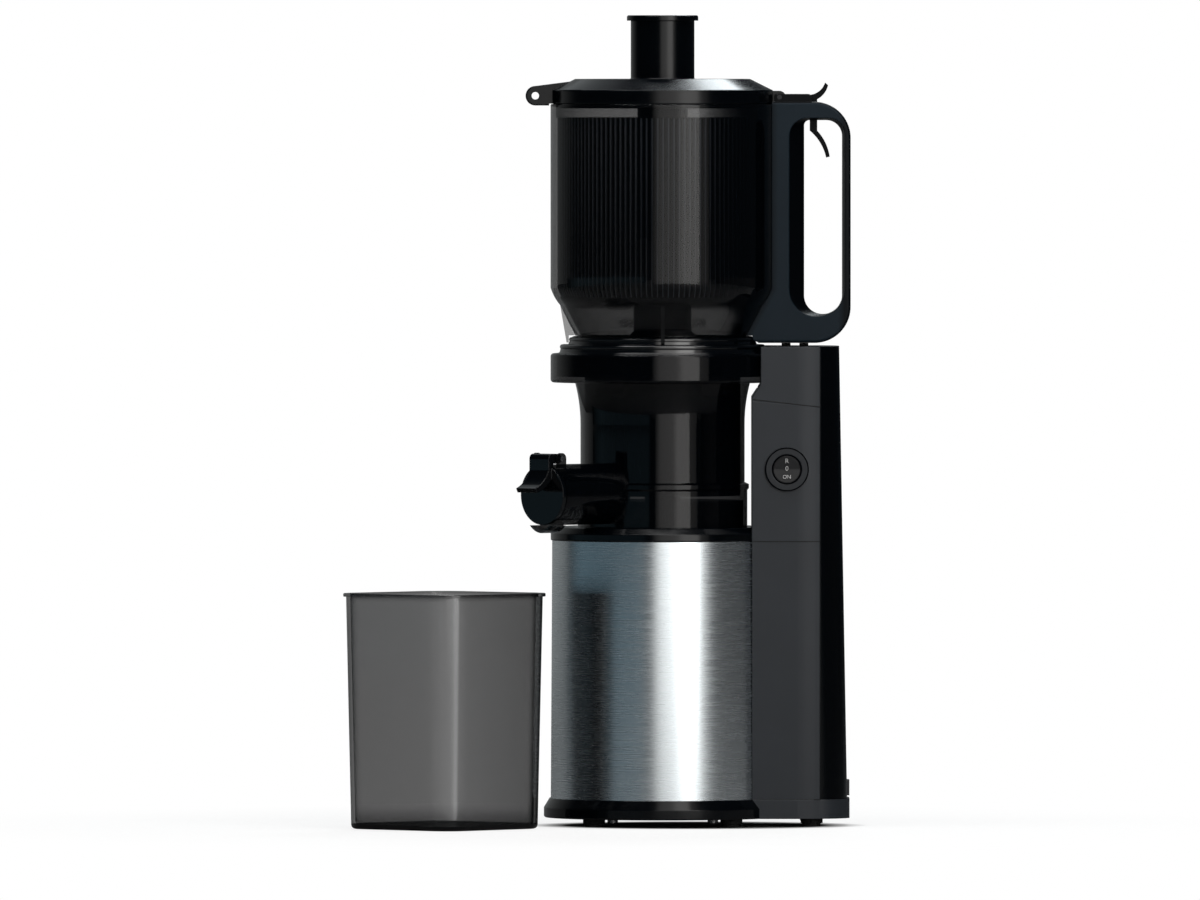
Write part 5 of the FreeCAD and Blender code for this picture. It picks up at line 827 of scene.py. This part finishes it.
class JUICER_OT_stage(bpy.types.Operator):
    """Sets the floor, the lights, the background and the camera"""

    bl_idname = "juicer.stage"
    bl_label = "Stage"

    def execute(self, context):
        scene = context.scene
        self.floor()
        self.backdrop(scene)
        tall = (-0.25, 3.7)
        low = (-0.25, 0.22)
        cool = (0.9, 0.97, 1.0)
        white = WHITE[:3]
        key = (
            (-11.0, 0.0), (-3.0, 1.28), (14.0, 1.65), (21.0, 3.15),
            (37.0, 3.15), (38.0, 0.6), (47.0, 0.4), (48.0, 0.0),
        )
        left = ((-115.0, 0.0), (-95.0, 0.2), (-20.0, 0.2), (-16.0, 0.0))
        right = ((55.0, 0.0), (70.0, 0.05), (105.0, 0.05), (120.0, 0.0))
        self.softbox("key_light", key, 1.7, tall, (1.0, 0.99, 0.97))
        self.softbox("left_light", left, 1.9, low, (0.57, 0.9, 1.08))
        self.softbox("right_light", right, 1.9, low, white)
        self.lamp("back_light", (0.45, 2.1, 2.4), (-48, 0, -12), (1.1, 0.8), 9.5, cool)
        self.lamp("left_fill", (-0.5, 1.9, 1.75), (-52, 0, 14), (0.9, 1.2), 0.25, cool)
        self.lamp("top_strip", (0.0, -0.42, 2.3), (-12, 0, 0), (2.4, 0.7), 5.0, white)
        self.camera(scene, scene.juicer_looks.camera_distance)
        scene.view_settings.view_transform = "Standard"
        return {"FINISHED"}

    def floor(self):
        """A large pale plane, a hair below the feet, that keeps the object's shadow. To the camera it glows
        near the object, but not in a painted shadow under the base and the column, and is plain white further
        off."""
        material = plastic("floor_paper", (0.2, 0.2, 0.2), 0.9, swing=0.01, texture=60.0)
        tree = material.node_tree
        shader = tree.nodes["Principled BSDF"]
        seen = tree.nodes.new("ShaderNodeLightPath").outputs["Is Camera Ray"]
        shader.inputs["Emission Color"].default_value = WHITE
        # The glow leaves out a painted shadow under the base and the column.
        glow = reckon(tree, "MULTIPLY", seen, self.glow_round_painted_shadow(tree))
        tree.links.new(glow, shader.inputs["Emission Strength"])
        far = ramp(tree, distance_out(tree, object_place(tree)), 0.2, 0.5, smooth=True)
        white = tree.nodes.new("ShaderNodeEmission")
        mix = tree.nodes.new("ShaderNodeMixShader")
        tree.links.new(reckon(tree, "MULTIPLY", seen, far), mix.inputs["Fac"])
        tree.links.new(shader.outputs["BSDF"], mix.inputs[1])
        tree.links.new(white.outputs["Emission"], mix.inputs[2])
        tree.links.new(mix.outputs["Shader"], tree.nodes["Material Output"].inputs["Surface"])
        plan = np.array([[-1, -1], [1, -1], [1, 1], [-1, 1]]) * FLOOR_EDGE
        points = np.column_stack([plan, np.full(4, -FLOOR_DROP)])
        piece = surface("floor", points, [[0, 1, 2, 3]], 30, material)

    def glow_round_painted_shadow(self, tree):
        """The floor's glow, which leaves a painted shadow: none under the base and the column, an oval about
        a point behind the drum's axis, and nearly white outside it."""
        oval = tree.nodes.new("ShaderNodeMapping")
        oval.vector_type = "TEXTURE"
        oval.inputs["Location"].default_value = drum_axis() + np.array([0.02, 0.0, 0.0])
        oval.inputs["Scale"].default_value = (0.095, 0.074, 1.0)
        tree.links.new(object_place(tree), oval.inputs["Vector"])
        return ramp(tree, distance_out(tree, oval.outputs["Vector"]), 0.85, 1.15, 0.0, 0.8)

    def backdrop(self, scene):
        """White to the camera. To everything else bright behind on the left, and dim all round."""
        world = bpy.data.worlds.new("studio")
        world.use_nodes = True
        scene.world = world
        tree = world.node_tree
        seen = tree.nodes.new("ShaderNodeLightPath").outputs["Is Camera Ray"]
        way = tree.nodes.new("ShaderNodeTexCoord").outputs["Generated"]
        lean = tree.nodes.new("ShaderNodeVectorMath")
        lean.operation = "DOT_PRODUCT"
        lean.inputs[1].default_value = (-0.5, 0.866, 0.0)
        tree.links.new(way, lean.inputs[0])
        behind = ramp(tree, lean.outputs["Value"], 0.65, 1.02, smooth=True)
        studio = mixed(tree, behind, (0.016, 0.02, 0.024, 1.0), (0.225, 0.235, 0.235, 1.0))
        tree.links.new(mixed(tree, seen, studio, WHITE), tree.nodes["Background"].inputs["Color"])

    def softbox(self, name, glows, distance, heights, colour):
        """An upright screen bent round the drum: at an angle t to the right of the camera it stands at the
        distance times the sine of t across and minus the cosine along. Its glow goes evenly from each
        given angle to the next."""
        material, tree, shader = new_material(name)
        tree.nodes.remove(shader)
        light = tree.nodes.new("ShaderNodeEmission")
        light.inputs["Color"].default_value = (*colour, 1.0)
        tree.links.new(stored_share(tree, "glow"), light.inputs["Strength"])
        tree.links.new(light.outputs["Emission"], tree.nodes["Material Output"].inputs["Surface"])
        spots, levels = np.array(glows).T
        turn = np.unique(np.concatenate([spots, np.linspace(spots[0], spots[-1], 64)]))
        points = np.empty((2, len(turn), 3))
        points[..., 0] = distance * np.sin(np.radians(turn)) / MM
        points[..., 1] = -distance * np.cos(np.radians(turn)) / MM
        points[..., 2] = np.array(heights)[:, None] / MM
        piece = surface(name, points, grid_faces(2, len(turn), False, False), 30, material)
        spread_attribute(piece, "glow", np.broadcast_to(np.interp(turn, spots, levels), (2, len(turn))))
        piece.visible_camera = False
        piece.visible_shadow = False

    def lamp(self, name, spot, turn, size, strength, colour):
        """A soft rectangle at a spot beside the drum's axis, turned in degrees from facing down."""
        light = bpy.data.lights.new(name, "AREA")
        light.shape = "RECTANGLE"
        light.size = size[0]
        light.size_y = size[1]
        light.energy = strength * size[0] * size[1] * math.pi
        light.color = colour
        lamp = bpy.data.objects.new(name, light)
        lamp.location = drum_axis() + np.array(spot)
        lamp.rotation_euler = [math.radians(angle) for angle in turn]
        bpy.context.scene.collection.objects.link(lamp)

    def camera(self, scene, distance):
        """Nearly level and far off, so that 1200 by 900 pixels show 750 mm across at the drum. It aims at a
        point a little to the left of the drum's axis, at about half the height."""
        tilt = math.radians(0.95)
        shown_width = 0.75
        aim = drum_axis() + np.array([-0.0391, 0.0, 0.2344])
        lens = bpy.data.cameras.new("camera")
        lens.sensor_width = 36.0
        lens.lens = lens.sensor_width * distance / shown_width
        lens.clip_end = 100.0
        view = bpy.data.objects.new("camera", lens)
        view.location = aim + distance * np.array([0.0, -math.cos(tilt), math.sin(tilt)])
        view.rotation_euler = (math.radians(90) - tilt, 0, 0)
        scene.collection.objects.link(view)
        scene.camera = view


class JUICER_PT_looks(bpy.types.Panel):
    """The looks and the steps that build them"""

    bl_idname = "JUICER_PT_looks"
    bl_label = "Slow juicer"
    bl_space_type = "VIEW_3D"
    bl_region_type = "UI"
    bl_category = "Juicer"

    def draw(self, context):
        looks = context.scene.juicer_looks
        for name in JuicerLooks.__annotations__:
            self.layout.prop(looks, name)
        for step in STEPS:
            self.layout.operator(step.bl_idname)


STEPS = (
    JUICER_OT_body,
    JUICER_OT_drive,
    JUICER_OT_chamber,
    JUICER_OT_hopper,
    JUICER_OT_lid,
    JUICER_OT_switch,
    JUICER_OT_jar,
    JUICER_OT_stage,
)


def register():
    bpy.utils.register_class(JuicerLooks)
    for step in STEPS:
        bpy.utils.register_class(step)
    bpy.utils.register_class(JUICER_PT_looks)
    bpy.types.Scene.juicer_looks = PointerProperty(type=JuicerLooks)


def unregister():
    del bpy.types.Scene.juicer_looks
    bpy.utils.unregister_class(JUICER_PT_looks)
    for step in reversed(STEPS):
        bpy.utils.unregister_class(step)
    bpy.utils.unregister_class(JuicerLooks)


def main():
    """Builds every piece."""
    register()
    bpy.ops.juicer.body()
    bpy.ops.juicer.drive()
    bpy.ops.juicer.chamber()
    bpy.ops.juicer.hopper()
    bpy.ops.juicer.lid()
    bpy.ops.juicer.switch()
    bpy.ops.juicer.jar()
    bpy.ops.juicer.stage()


if __name__ == "__main__":
    main()
